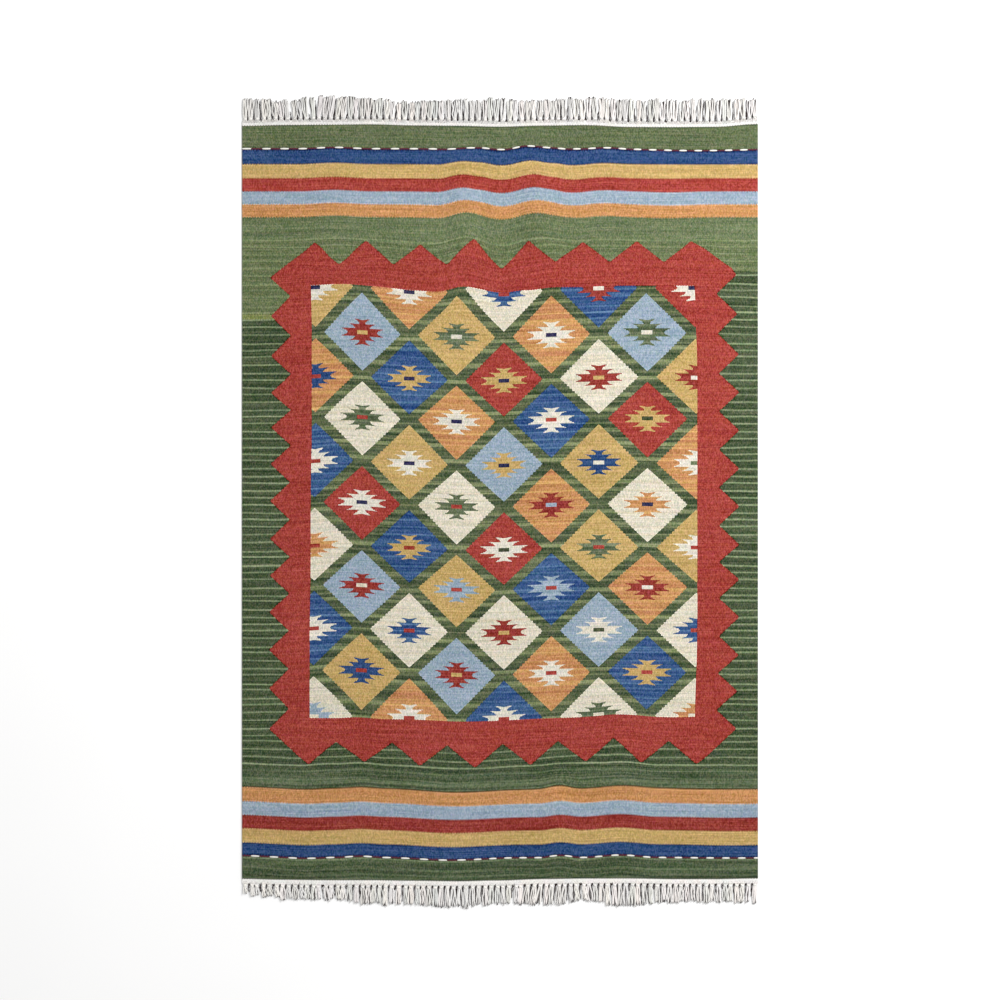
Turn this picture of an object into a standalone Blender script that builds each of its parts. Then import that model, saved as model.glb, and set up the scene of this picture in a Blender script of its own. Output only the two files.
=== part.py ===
"""Kilim rug, lying flat: one woven cloth, and a web strip with a knotted fringe at each end.

Frame: X across the rug, Y along it with the head end at +Y, and Z up, in metres.
The rug lies on z = 0, with the origin under the middle of its bounding box.
"""

import math
import random

import bmesh
import bpy

# The cloth: flat-woven wool on cotton warps, selvedge to selvedge.
WIDTH = 1.200
CLOTH_THICKNESS = 0.003
EDGE_ROUNDING = 0.0008
COLUMN_PITCH = 0.025

# Rows of faces along the cloth: close together where the weave ripples, wide where it is flat.
# Each zone runs from one share of the length to the next, foot end first.
ROW_ZONES = (
    # zone_end, rows
    (0.16, 8),
    (0.78, 5),
    (1.00, 12),
)

# The fringe: the warps leave the cloth in a bare web strip, and are knotted close to it.
HALF_LENGTH = 0.9465
PIECE_GAP = 0.0003
WEB_WIDTH = 0.0095
WEB_THICKNESS = 0.0026
KNOTS_PER_END = 84
LOCK_UNEVENNESS = 0.0030

# One knotted lock: its cross-sections from the web strip outwards.
# A lock has four sides, lies on z = 0, and reaches its own length at share 1.
LOCK_SECTIONS = (
    # name, distance, share of the free length, width, height
    ("knot", 0.0040, 0.0, 0.0082, 0.0052),
    ("neck", 0.0095, 0.0, 0.0056, 0.0034),
    ("tip", 0.0095, 1.0, 0.0112, 0.0024),
)
LOCK_ROOT_WIDTH = 0.0050

# The uneven ends, every tenth of a metre across the rug: how far the cloth and the tips
# of the locks reach from the rug's middle, and how far the locks lean towards +X.
END_COLUMNS = ("x", "head_edge", "head_tips", "head_lean", "foot_edge", "foot_tips", "foot_lean")
END_ROWS = (
    (-0.60, 0.8760, 0.9405, 0.001, 0.8774, 0.9123, 0.001),
    (-0.50, 0.8781, 0.9360, -0.002, 0.8795, 0.9233, 0.003),
    (-0.40, 0.8788, 0.9455, 0.003, 0.8805, 0.9256, 0.002),
    (-0.30, 0.8797, 0.9400, 0.000, 0.8805, 0.9363, -0.001),
    (-0.20, 0.8772, 0.9319, 0.002, 0.8819, 0.9372, 0.001),
    (-0.10, 0.8763, 0.9363, -0.001, 0.8830, 0.9437, 0.001),
    (0.00, 0.8742, 0.9395, 0.001, 0.8812, 0.9347, 0.000),
    (0.10, 0.8769, 0.9351, -0.001, 0.8779, 0.9372, -0.004),
    (0.20, 0.8781, 0.9405, 0.000, 0.8767, 0.9293, 0.003),
    (0.30, 0.8737, 0.9379, 0.001, 0.8765, 0.9419, 0.001),
    (0.40, 0.8732, 0.9358, -0.001, 0.8781, 0.9302, 0.000),
    (0.50, 0.8739, 0.9395, 0.001, 0.8781, 0.9302, 0.002),
    (0.60, 0.8804, 0.9367, -0.001, 0.8765, 0.9344, -0.002),
)

# The one place where the head fringe is parted: the locks lean away from it on both sides.
PARTING_X = -0.428
PARTING_LEAN = 0.0045
PARTING_SPREAD = 0.070

# Low ripples left in the cloth, each a soft ridge that runs along the rug.
RIPPLES = (
    # x, half_width, height, y_from, y_to
    (-0.084, 0.056, 0.0060, 0.500, 0.870),
    (0.093, 0.060, 0.0065, 0.500, 0.870),
    (-0.375, 0.085, 0.0022, 0.600, 0.860),
    (-0.315, 0.080, 0.0028, -0.870, -0.610),
    (0.130, 0.080, 0.0034, -0.870, -0.600),
)

MATERIALS = {
    # name: colour, roughness
    "woven_wool": ((0.16, 0.22, 0.10), 0.92),
    "cotton_yarn": ((0.82, 0.81, 0.76), 0.90),
}


def eased(share):
    """Ease a share between 0 and 1, flat at both ends."""
    return 0.5 - 0.5 * math.cos(math.pi * share)


def end_value(x, column):
    """A column of the table of ends at x, eased from row to row."""
    place = END_COLUMNS.index(column)
    pitch = END_ROWS[1][0] - END_ROWS[0][0]
    row = min(max(int((x - END_ROWS[0][0]) / pitch), 0), len(END_ROWS) - 2)
    share = min(max((x - END_ROWS[row][0]) / pitch, 0.0), 1.0)
    before = END_ROWS[row][place]
    after = END_ROWS[row + 1][place]
    return before + (after - before) * eased(share)


def end_line(x, end):
    """How far the cloth reaches at x: straight between its columns of faces."""
    column = min(max(math.floor((x + WIDTH / 2) / COLUMN_PITCH), 0), round(WIDTH / COLUMN_PITCH) - 1)
    left = -WIDTH / 2 + column * COLUMN_PITCH
    share = (x - left) / COLUMN_PITCH
    before = end_value(left, end + "_edge")
    after = end_value(left + COLUMN_PITCH, end + "_edge")
    return before + (after - before) * share


def ripple_height(x, y):
    """How far the ripples lift the cloth off the floor."""
    height = 0.0
    for ridge_x, half_width, ridge_height, y_from, y_to in RIPPLES:
        across = abs(x - ridge_x) / half_width
        along = abs(2 * y - y_from - y_to) / (y_to - y_from)
        if across < 1 and along < 1:
            height += ridge_height * eased(1 - across) * eased(1 - along)
    return height


def row_shares():
    """Shares of the cloth's length at which its rows of faces meet."""
    shares = [0.0]
    for zone_end, rows in ROW_ZONES:
        zone_start = shares[-1]
        shares += [zone_start + (zone_end - zone_start) * (k + 1) / rows for k in range(rows)]
    return shares


def make_material(name):
    """A plain fibre material in the source's own colour."""
    colour, roughness = MATERIALS[name]
    material = bpy.data.materials.new(name)
    material.use_nodes = True
    shader = material.node_tree.nodes["Principled BSDF"]
    shader.inputs["Base Color"].default_value = (*colour, 1.0)
    shader.inputs["Roughness"].default_value = roughness
    shader.inputs["Metallic"].default_value = 0.0
    return material


def add_object(name, mesh_builder, material_name):
    """Put a bmesh in the scene as one named object."""
    mesh = bpy.data.meshes.new(name)
    mesh_builder.to_mesh(mesh)
    mesh_builder.free()
    piece = bpy.data.objects.new(name, mesh)
    bpy.context.scene.collection.objects.link(piece)
    piece.data.materials.append(make_material(material_name))
    return piece


def make_cloth():
    """The woven cloth: a grid on the underside's shape, given its thickness upwards."""
    columns = round(WIDTH / COLUMN_PITCH)
    shares = row_shares()
    cloth = bmesh.new()
    grid = []
    for share in shares:
        row = []
        for column in range(columns + 1):
            x = -WIDTH / 2 + column * COLUMN_PITCH
            foot = -end_line(x, "foot")
            head = end_line(x, "head")
            y = foot + (head - foot) * share
            row.append(cloth.verts.new((x, y, ripple_height(x, y))))
        grid.append(row)
    for lower, upper in zip(grid, grid[1:]):
        for column in range(columns):
            cloth.faces.new((lower[column], lower[column + 1], upper[column + 1], upper[column]))
    piece = add_object("kilim_cloth", cloth, "woven_wool")

    thickness = piece.modifiers.new("thickness", "SOLIDIFY")
    thickness.thickness = CLOTH_THICKNESS
    thickness.offset = 1.0
    rounding = piece.modifiers.new("rounded_edges", "BEVEL")
    rounding.width = EDGE_ROUNDING
    rounding.segments = 1
    rounding.limit_method = "ANGLE"
    rounding.angle_limit = math.radians(60)
    return piece


def lock_leans(end):
    """How far each lock of an end leans towards +X."""
    leans = []
    for knot in range(KNOTS_PER_END):
        x = knot_place(knot)
        lean = end_value(x, end + "_lean")
        if end == "head":
            away = x - PARTING_X
            lean += math.copysign(PARTING_LEAN, away) * math.exp(-abs(away) / PARTING_SPREAD)
        leans.append(lean)
    return leans


def lock_tips(end, seed):
    """How far each lock of an end reaches from the rug's middle; the longest to HALF_LENGTH."""
    chance = random.Random(seed)
    tips = []
    for knot in range(KNOTS_PER_END):
        unevenness = chance.uniform(-LOCK_UNEVENNESS, LOCK_UNEVENNESS)
        tips.append(end_value(knot_place(knot), end + "_tips") + unevenness)
    shift = HALF_LENGTH - max(tips)
    return [tip + shift for tip in tips]


def knot_place(knot):
    """The middle of a knot across the rug."""
    return -WIDTH / 2 + WIDTH * (knot + 0.5) / KNOTS_PER_END


def web_stations():
    """Places across the web strip: its two sides, and both sides of each lock's root."""
    stations = [-WIDTH / 2]
    for knot in range(KNOTS_PER_END):
        x = knot_place(knot)
        stations += [x - LOCK_ROOT_WIDTH / 2, x + LOCK_ROOT_WIDTH / 2]
    return stations + [WIDTH / 2]


def make_fringe(name, end, direction, seed):
    """A web strip with its knotted locks, grown outwards from the strip's free edge.

    direction is +1 at the head and -1 at the foot. Points are laid out as at the head, and
    their Y is multiplied by direction, so the foot's faces are turned over at the end.
    """
    fringe = bmesh.new()

    def point(x, reach, z):
        return fringe.verts.new((x, direction * reach, z))

    rings = []
    for x in web_stations():
        inner = end_line(x, end) + PIECE_GAP
        outer = inner + WEB_WIDTH
        rings.append((point(x, inner, 0), point(x, outer, 0),
                      point(x, outer, WEB_THICKNESS), point(x, inner, WEB_THICKNESS)))

    for station, (left, right) in enumerate(zip(rings, rings[1:])):
        fringe.faces.new((left[0], left[1], right[1], right[0]))
        fringe.faces.new((left[3], right[3], right[2], left[2]))
        fringe.faces.new((left[0], right[0], right[3], left[3]))
        is_gap = station % 2 == 0
        if is_gap:
            fringe.faces.new((left[1], left[2], right[2], right[1]))
    fringe.faces.new(rings[0][::-1])
    fringe.faces.new(rings[-1])

    tips = lock_tips(end, seed)
    leans = lock_leans(end)
    for knot in range(KNOTS_PER_END):
        left = rings[2 * knot + 1]
        right = rings[2 * knot + 2]
        x = knot_place(knot)
        root = end_line(x, end) + PIECE_GAP + WEB_WIDTH
        section = (left[1], right[1], right[2], left[2])
        for _, distance, share, width, height in LOCK_SECTIONS:
            free_length = tips[knot] - root - distance
            reach = root + distance + share * free_length
            middle = x + leans[knot] * share
            following = (point(middle - width / 2, reach, 0), point(middle + width / 2, reach, 0),
                         point(middle + width / 2, reach, height), point(middle - width / 2, reach, height))
            for side in range(4):
                after = (side + 1) % 4
                fringe.faces.new((section[after], section[side], following[side], following[after]))
            section = following
        fringe.faces.new(section[::-1])

    bmesh.ops.recalc_face_normals(fringe, faces=fringe.faces)
    return add_object(name, fringe, "cotton_yarn")


def clear_scene():
    """Start from nothing."""
    for piece in list(bpy.data.objects):
        bpy.data.objects.remove(piece, do_unlink=True)


clear_scene()
make_cloth()
make_fringe("fringe_head", "head", 1, seed=3)
make_fringe("fringe_foot", "foot", -1, seed=8)
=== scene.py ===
"""Looks of the kilim rug: its woven cloth, dashed twining, web strips, knotted fringe and studio.

Run as a script. All lengths are in metres: X across the rug, Y along it towards the head end,
and Z up, with the rug lying on z = 0. The shape's tables are those of the rug's solids.
"""

import math
import random
from functools import partialmethod

import bpy
import numpy as np
from bpy.props import FloatProperty, FloatVectorProperty, IntProperty, PointerProperty
from mathutils import Matrix


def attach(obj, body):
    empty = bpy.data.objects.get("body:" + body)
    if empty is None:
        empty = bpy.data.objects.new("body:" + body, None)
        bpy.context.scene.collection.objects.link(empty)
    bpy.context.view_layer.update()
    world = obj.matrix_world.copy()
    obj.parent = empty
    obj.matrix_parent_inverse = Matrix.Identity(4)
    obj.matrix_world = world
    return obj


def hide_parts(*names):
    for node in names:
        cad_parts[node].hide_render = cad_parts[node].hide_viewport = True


bl_info = {
    "name": "Kilim Rug",
    "version": (1, 0, 0),
    "blender": (4, 5, 0),
    "location": "View3D > Sidebar > Kilim",
    "description": "Weaves a kilim rug with diamonds, a toothed border and a knotted fringe",
    "category": "Object",
}

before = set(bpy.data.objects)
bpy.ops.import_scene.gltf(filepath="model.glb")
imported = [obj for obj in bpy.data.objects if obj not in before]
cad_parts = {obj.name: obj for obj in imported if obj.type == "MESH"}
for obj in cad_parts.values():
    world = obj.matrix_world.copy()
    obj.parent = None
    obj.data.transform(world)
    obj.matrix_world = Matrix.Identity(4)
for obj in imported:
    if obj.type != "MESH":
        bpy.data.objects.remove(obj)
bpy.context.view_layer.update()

# --- The rug's shape, as its solids have it ---

WIDTH = 1.200
CLOTH_THICKNESS = 0.003
COLUMN_PITCH = 0.025
HALF_LENGTH = 0.9465
PIECE_GAP = 0.0003
WEB_WIDTH = 0.0095
WEB_THICKNESS = 0.0026
KNOTS_PER_END = 84
OUTWARDS = {"head": 1, "foot": -1}
FRINGE_SEEDS = {"head": 3, "foot": 8}
YARN_SEEDS_FROM, KNOT_SEEDS_FROM = 100, 200
LOCK_UNEVENNESS = 0.0030
KNOT_DRIFT = 0.0024
PARTING_X = -0.428
PARTING_LEAN = 0.0045
PARTING_SPREAD = 0.070

END_COLUMNS = ("x", "head_edge", "head_tips", "head_lean", "foot_edge", "foot_tips", "foot_lean")
END_ROWS = (
    (-0.60, 0.8760, 0.9405, 0.001, 0.8774, 0.9123, 0.001),
    (-0.50, 0.8781, 0.9360, -0.002, 0.8795, 0.9233, 0.003),
    (-0.40, 0.8788, 0.9455, 0.003, 0.8805, 0.9256, 0.002),
    (-0.30, 0.8797, 0.9400, 0.000, 0.8805, 0.9363, -0.001),
    (-0.20, 0.8772, 0.9319, 0.002, 0.8819, 0.9372, 0.001),
    (-0.10, 0.8763, 0.9363, -0.001, 0.8830, 0.9437, 0.001),
    (0.00, 0.8742, 0.9395, 0.001, 0.8812, 0.9347, 0.000),
    (0.10, 0.8769, 0.9351, -0.001, 0.8779, 0.9372, -0.004),
    (0.20, 0.8781, 0.9405, 0.000, 0.8767, 0.9293, 0.003),
    (0.30, 0.8737, 0.9379, 0.001, 0.8765, 0.9419, 0.001),
    (0.40, 0.8732, 0.9358, -0.001, 0.8781, 0.9302, 0.000),
    (0.50, 0.8739, 0.9395, 0.001, 0.8781, 0.9302, 0.002),
    (0.60, 0.8804, 0.9367, -0.001, 0.8765, 0.9344, -0.002),
)

RIPPLES = (
    # x, half_width, height, y_from, y_to
    (-0.084, 0.056, 0.0060, 0.500, 0.870),
    (0.093, 0.060, 0.0065, 0.500, 0.870),
    (-0.375, 0.085, 0.0022, 0.600, 0.860),
    (-0.315, 0.080, 0.0028, -0.870, -0.610),
    (0.130, 0.080, 0.0034, -0.870, -0.600),
)

# --- The weave and its pattern ---

WARPS = 387
FACES_PER_WARP = 3
PATTERN_WIDTH = 1.204
PATTERN_LENGTH = 1.800

# Rows of faces along the cloth, foot end first.
ROW_ZONES = (
    # zone_end, rows
    (0.16, 10),
    (0.78, 15),
    (1.00, 15),
)
# The rows next to the ends are narrow, and the cloth's rim is drawn in to make it round.
END_ROW_SHARE = 0.0006
EDGE_DIP = 0.30

# Where the beater left the wefts bowed out of line: soft bumps in the plane of the cloth.
WEFT_BOWS = (
    # x, half_width, y, half_length, lift
    (-0.385, 0.085, 0.730, 0.220, 0.0030),
    (-0.084, 0.066, 0.650, 0.230, 0.0105),
    (0.009, 0.048, 0.700, 0.200, -0.0010),
    (-0.058, 0.068, 0.662, 0.048, 0.0055),
    (-0.035, 0.032, 0.755, 0.090, 0.0032),
    (0.107, 0.035, 0.770, 0.060, -0.0030),
    (0.160, 0.050, 0.662, 0.030, 0.0025),
    (0.390, 0.110, 0.700, 0.060, -0.0026),
    (0.083, 0.076, 0.750, 0.190, 0.0105),
    (0.172, 0.050, 0.730, 0.200, -0.0030),
    (0.247, 0.060, 0.730, 0.200, 0.0022),
    (-0.100, 0.060, 0.838, 0.052, -0.0035),
    (0.095, 0.055, 0.838, 0.052, -0.0055),
    (0.175, 0.045, 0.838, 0.052, 0.0025),
    (0.460, 0.240, 0.838, 0.052, -0.0045),
    (-0.380, 0.110, 0.550, 0.035, -0.0075),
    (-0.060, 0.050, 0.607, 0.030, 0.0035),
    (0.198, 0.060, -0.607, 0.035, 0.0050),
    (-0.400, 0.140, 0.500, 0.060, 0.0050),
    (-0.190, 0.100, 0.530, 0.120, -0.0060),
    (0.009, 0.055, 0.520, 0.120, -0.0060),
    (-0.135, 0.060, 0.495, 0.030, -0.0030),
    (0.070, 0.045, 0.495, 0.030, -0.0032),
    (-0.410, 0.080, 0.495, 0.030, -0.0032),
    (0.130, 0.060, 0.560, 0.070, 0.0050),
    (0.380, 0.280, 0.480, 0.130, 0.0045),
    (0.360, 0.160, 0.300, 0.140, 0.0035),
    (-0.370, 0.150, 0.000, 0.750, 0.0070),
    (-0.040, 0.210, 0.000, 0.950, -0.0065),
    (0.260, 0.120, 0.000, 0.900, 0.0015),
    (-0.330, 0.200, -0.505, 0.048, -0.0075),
    (0.450, 0.060, -0.500, 0.030, 0.0080),
    (0.300, 0.200, -0.510, 0.070, 0.0040),
    (-0.610, 0.130, -0.740, 0.220, 0.0045),
    (-0.450, 0.070, -0.740, 0.260, -0.0020),
    (-0.325, 0.060, -0.690, 0.260, 0.0030),
    (-0.120, 0.160, -0.720, 0.300, -0.0055),
    (0.140, 0.050, -0.760, 0.220, 0.0050),
    (0.280, 0.090, -0.700, 0.320, 0.0055),
    (0.350, 0.100, -0.655, 0.030, 0.0025),
    (0.130, 0.060, -0.655, 0.030, 0.0030),
    (0.540, 0.180, -0.745, 0.110, -0.0026),
    (0.478, 0.050, 0.590, 0.030, 0.0040),
    (-0.249, 0.035, -0.555, 0.030, 0.0040),
    (-0.398, 0.072, -0.502, 0.030, -0.0068),
    (0.458, 0.036, -0.500, 0.030, 0.0090),
)

# Where the warps run out of line: the right border bellies out, and the left one leans.
WARP_BOWS = (
    # x, half_width, y, half_length, shift
    (0.520, 0.340, 0.000, 0.560, 0.0075),
    (-0.480, 0.300, 0.280, 0.260, 0.0025),
    (-0.480, 0.300, -0.400, 0.240, -0.0025),
)

# The yarns by number: colour, streak colour, and how much they show fine pin lines, broad
# lines and soft cloudy streaks. Colours are given as seen in daylight, 0 to 255.
YARNS = (
    # name, colour, streak_colour, pins, broad, cloudy
    ("light_green", (111, 124, 89), (93, 105, 73), 0.30, 0.00, 0.45),
    ("top_green", (101, 113, 80), (87, 98, 68), 0.25, 0.00, 0.35),
    ("tooth_green", (101, 113, 78), (134, 147, 106), 0.64, 0.15, 0.15),
    ("side_green", (64, 78, 53), (140, 154, 118), 1.00, 0.00, 0.15),
    ("field_green", (66, 80, 56), (142, 151, 108), 0.40, 1.00, 0.30),
    ("foot_green", (71, 85, 60), (123, 138, 104), 0.55, 0.45, 0.35),
    ("red", (169, 69, 60), (149, 54, 47), 0.15, 0.15, 0.45),
    ("deep_red", (152, 61, 53), (138, 48, 42), 0.15, 0.10, 0.40),
    ("blue", (46, 75, 122), (60, 90, 134), 0.10, 0.00, 0.30),
    ("streaky_blue", (41, 73, 124), (101, 137, 174), 0.52, 0.14, 0.34),
    ("sky", (156, 174, 189), (142, 161, 179), 0.20, 0.15, 0.40),
    ("yellow", (201, 170, 109), (188, 155, 94), 0.20, 0.20, 0.45),
    ("orange", (204, 148, 95), (186, 128, 80), 0.15, 0.10, 0.45),
    ("streaky_orange", (193, 132, 89), (220, 174, 108), 0.55, 0.50, 0.42),
    ("cream", (228, 222, 203), (213, 201, 175), 0.35, 0.25, 0.45),
    ("white", (230, 225, 211), (216, 206, 186), 0.30, 0.00, 0.40),
    ("navy", (44, 46, 80), (60, 58, 88), 0.00, 0.00, 0.30),
    ("plum", (72, 44, 58), (96, 54, 60), 0.30, 0.00, 0.40),
    ("bottle_green", (80, 94, 68), (126, 137, 106), 0.70, 0.60, 0.30),
    ("brown", (66, 54, 34), (84, 66, 44), 0.00, 0.00, 0.30),
    ("olive", (132, 140, 84), (108, 120, 70), 0.00, 0.00, 0.60),
    ("dark_green", (60, 70, 48), (84, 96, 68), 0.20, 0.00, 0.40),
)
YARN_SLOTS = len(YARNS)

# The bands across each end, and how far from a join their shade is reckoned.
BANDS = {
    # end: (from_y, to_y, (starts at y, yarn; towards the head end))
    "head": (0.640, 0.840, (
        (0.6400, "light_green"),
        (0.6621, "orange"),
        (0.6921, "sky"),
        (0.7214, "red"),
        (0.7527, "yellow"),
        (0.7847, "navy"),
        (0.7860, "blue"),
        # The plum band is partly the dark yarn behind the twined line's floats and partly a painted
        # shadow along their field side.
        (0.8182, "plum"),
        (0.8226, "top_green"),
    )),
    "foot": (-0.840, -0.640, (
        (-0.8400, "foot_green"),
        (-0.8284, "plum"),
        (-0.8246, "blue"),
        (-0.7970, "navy"),
        (-0.7957, "yellow"),
        (-0.7636, "deep_red"),
        (-0.7318, "sky"),
        (-0.7006, "orange"),
        (-0.6678, "brown"),
        (-0.6656, "foot_green"),
    )),
}
JOIN_REACH = 0.02

# The green beside the border: where each side changes to its darker yarn on the way to the
# foot, and the olive line of wefts on the left.
SIDE_CHANGE = {"left": 0.428, "right": 0.535}
LIGHT_GREEN_FROM, FOOT_GREEN_TO = 0.611, -0.622
OLIVE_Y, OLIVE_HALF_WIDTH = 0.4305, 0.0056

# The toothed red border: its rows of teeth along the ends, and where each side tooth points.
END_TEETH = {
    # end: first_tip_x, pitch, tip_y, notch_y, left_slope, right_slope
    "head": (-0.4372, 0.1259, 0.6062, 0.5538, 2.03, 1.62),
    "foot": (-0.4442, 0.1287, -0.6092, -0.5566, 1.90, 1.70),
}
TEETH_PER_END = 8
SIDE_TIPS = {
    "left": (0.5220, 0.4325, 0.3395, 0.2535, 0.1735, 0.0885, 0.0025,
             -0.0860, -0.1710, -0.2560, -0.3440, -0.4335, -0.5280),
    "right": (0.5280, 0.4380, 0.3435, 0.2550, 0.1665, 0.0775, -0.0100,
              -0.0990, -0.1800, -0.2675, -0.3560, -0.4400, -0.5270),
}
SIDE_LINES = {
    # side: tip_x, notch_x, field_edge_x, head_slope, foot_slope
    "left": (-0.5349, -0.4885, -0.4402, 2.55, 2.20),
    "right": (0.5492, 0.5018, 0.4520, 1.25, 1.95),
}
FIELD_HEAD, FIELD_FOOT = 0.4985, -0.5018
STEPS_PER_END_TOOTH, STEPS_PER_SIDE_TOOTH = 20, 16
# How far the rows of teeth and of diamonds are drawn on past their first and last.
TURNS_BEYOND = 1.5

# The diamonds: columns an even step apart, rows where they were woven, and their chart.
DIAMOND_X, DIAMOND_COLUMN_PITCH = -0.4314, 0.11012
DIAMOND_ROWS = (0.4940, 0.3895, 0.2875, 0.1925, 0.0905, -0.0055, -0.1060, -0.1985, -0.2985,
                -0.3965, -0.4990)
DIAMOND_ROW_PITCH = 0.0988
DIAMOND_HALF_WIDTH, DIAMOND_HALF_HEIGHT = 0.819, 0.874
DIAMOND_COLUMN_STEPS, DIAMOND_ROW_STEPS = 18, 16
STEP_DEPTH = 0.34
MOTIF_STEPS, MOTIF_STEP_DEPTH = 44, 0.7

# Each diamond is three letters: its ground, its eye and the eye's centre.
LETTERS = {
    "R": "red", "B": "streaky_blue", "S": "sky", "Y": "yellow", "O": "streaky_orange",
    "C": "cream", "W": "white", "N": "navy", "D": "bottle_green", "P": "light_green",
    "r": "deep_red", "b": "blue", "d": "dark_green",
}
CHART = (
    "YWN OWN CBR BrW RWN",
    "SrY YDW OWN SDW",
    "ObR BYN RYN CrY YrW",
    "CDR OWN BWR RYd",
    "BWR YWN SYN YbW OWP",
    "RWN CDR OrS CON",
    "COR BYR RWd YDR YWR",
    "SrC YSR BSR OrW",
    "BWR CBR CrY SWd CBR",
    "YbR SrY OWR BYR",
    "CSC OWR BWR CDC COC",
)
CHART_COLUMNS = 5
CHART_SPLIT = 6

# The eye: three tiers that flare outwards, each stepped in from the last. Half sizes.
EYE_REACH = 0.0310
EYE_WIDEST = 0.0600
EYE_OUTLINE = (
    # distance above or below the centre, half_width
    (0.0000, 0.0360),
    (0.0034, 0.0395),
    (0.0082, 0.0535),
    (0.0088, 0.0175),
    (0.0136, 0.0220),
    (0.0176, 0.0325),
    (0.0182, 0.0070),
    (0.0222, 0.0090),
    (0.0274, 0.0180),
    (0.0276, 0.0000),
)
EYE_CENTRE = (0.0119, 0.0046)
EYE_FAN = 2.6
# The smallest eye's size, and how much larger an eye may be.
EYE_SIZES, EYE_SEED = (0.96, 0.14), 3.0

# How a distance in the pattern's own terms becomes one square to the join, and margins to it.
TOOTH_EDGE_SLOPE, DIAMOND_EDGE_SLOPE, EYE_EDGE_SLOPE = 0.75, 0.0623, 0.8
EYE_END_MARGIN, FIELD_JOIN_MARGIN, FIELD_EDGE_MARGIN = 0.001, 0.0016, 0.0014

# The twined line near each end: runs of evenly spaced white floats, with dark ones between.
TWINING_Y = {"head": 0.8216, "foot": -0.8268}
TWINING_RUNS = (
    # end, first_start_x, last_start_x, floats, float_length
    ("head", -0.5530, -0.3418, 6, 0.0195),
    ("head", -0.2981, -0.0781, 6, 0.0195),
    ("head", -0.0420, 0.5581, 18, 0.0175),
    ("foot", -0.5792, -0.0993, 12, 0.0195),
    ("foot", -0.0606, 0.2208, 9, 0.0172),
    ("foot", 0.2587, 0.5906, 10, 0.0172),
)
# The head's line starts within a float. A float dips into the cloth at both ends.
CUT_FLOAT_TO = -0.5790
SHORTEST_FLOAT = 0.003
FLOAT_OVERLAP, FLOAT_LIFT = 0.0010, 0.0001
WHITE_HEIGHT, MAROON_HEIGHT, MAROON_WIDTH = 0.0026, 0.0020, 0.80
# The white float's colour and the painted shade in the hollows between its plies, and that painted
# shade as a share of the maroon's colour.
FLOAT_WHITE_AND_SHADE, MAROON_HOLLOW_SHADE = ((236, 234, 228), (196, 192, 186)), 0.45
PLUMPED_RINGS = (
    # from, to, plump
    (0.36, 0.44, 1.22),
    (0.44, 0.48, 1.50),
)
DIPPED_FROM, DIP = 0.40, 0.12

# --- The wool and the cotton ---

# Odd and even warps show a join this far apart, less so in the field and at the ends.
COMB_DEPTH = 0.0022
FIELD_COMB_SHARE, END_COMB_SHARE = 0.4, 0.6

# Noise in the wool: changes to a metre across and along the rug, seed and detail.
WANDER_NOISE = (9.0, 30.0, 0.0, 1.0)
SOFT_NOISE = (3.0, 95.0, 2.0, 3.0)
STREAK_NOISE = (6.0, 400.0, 5.0, 2.0)
PATCHES_PER_METRE, WIDE_PATCHES_PER_METRE = 90.0, 5.0
BEAD_SEED, RUN_SEED, PATCH_SEED, WIDE_PATCH_SEED = 7.0, 17.0, 5.0, 9.0
WEFT_WANDER = 0.006
SOFT_STREAKS = (0.36, 0.70)

# Lines of weft of another shade: spacing, scatter, thickness, weakest strength and seed.
FINE_LINES = (0.0172, 0.36, 0.0038, 0.60, 5.0)
WIDE_LINES = (0.0370, 0.56, 0.0080, 0.45, 11.0)
LINE_CORE, LINE_EDGE = 0.32, 0.68

# How far each part of the wool's unevenness moves its tone, and its red, green and blue. The rib
# part is painted rib shading across each warp.
WOOL_TONES = {"bead": 0.150, "run": 0.020, "streak": 0.240, "patch": 0.030, "wide_patch": 0.060,
              "rib": 0.040}
WOOL_TINTS = {"bead": (0.050, 0.040, 0.060), "patch": (0.045, 0.035, 0.045),
              "streak": (0.075, 0.060, 0.075)}
BEADS_PER_CELL = 1.4
RUN_LENGTH, RUN_OFFSET = 0.0105, 0.004
MEAN_SINE = 0.64
SEEN_GAMMA = 2.2
LUMINANCE = (0.30, 0.60, 0.10)
JOIN_SHADE, JOIN_CONTRAST = (0.0010, 0.0032), 0.42
DARK_WEFTS, DARKEST_WEFT = (0.0014, 0.0052), 0.45
COTTON_SHOT = (0.0006, 0.0016)

# Cotton is soiled at random in places. Painted shade darkens it low down between the yarns of the
# fringe and under the web strips, a painted shadow darkens its cut ends, and painted shade darkens
# the head end a little.
COTTON_TONES = {"yarn": 0.18, "patch": 0.16, "soil": 0.12, "fibre": 0.08}
COTTON_TINTS = (0.05, 0.02, 0.04)
COTTON_LEVEL, HEAD_PAINTED_SHADE = 0.65, 0.145
# Heights below which the yarns of the fringe and the web strips take the painted shade.
FRINGE_PAINTED_SHADE_HEIGHTS, WEB_PAINTED_SHADE_HEIGHTS = (0.0018, 0.0030), (-0.004, 0.0008)
# Turns of the twist along a yarn of the fringe.
FRINGE_TWIST = 9.0
YARNS_PER_SOIL = 8.0
TONE_SEED, SOIL_SEED = 1.0, 3.0
# Where a yarn's cut end begins, and how far a painted shadow darkens it there.
CUT_END, CUT_END_PAINTED_SHADOW = (0.900, 0.940), 0.55
WEB_SHOT = 0.0024
WEB_SOILS_PER_METRE, WEB_SOIL = 60.0, (0.3, 0.1)
# The twined yarn's plies, and how far the crests of its plies and its fibres lift it out of the
# painted shade in its hollows.
PLY_ACROSS, PLY_ALONG = 0.0042, 0.0030
PLY_LIGHT, FIBRE_LIGHT = 0.7, 0.5

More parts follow.
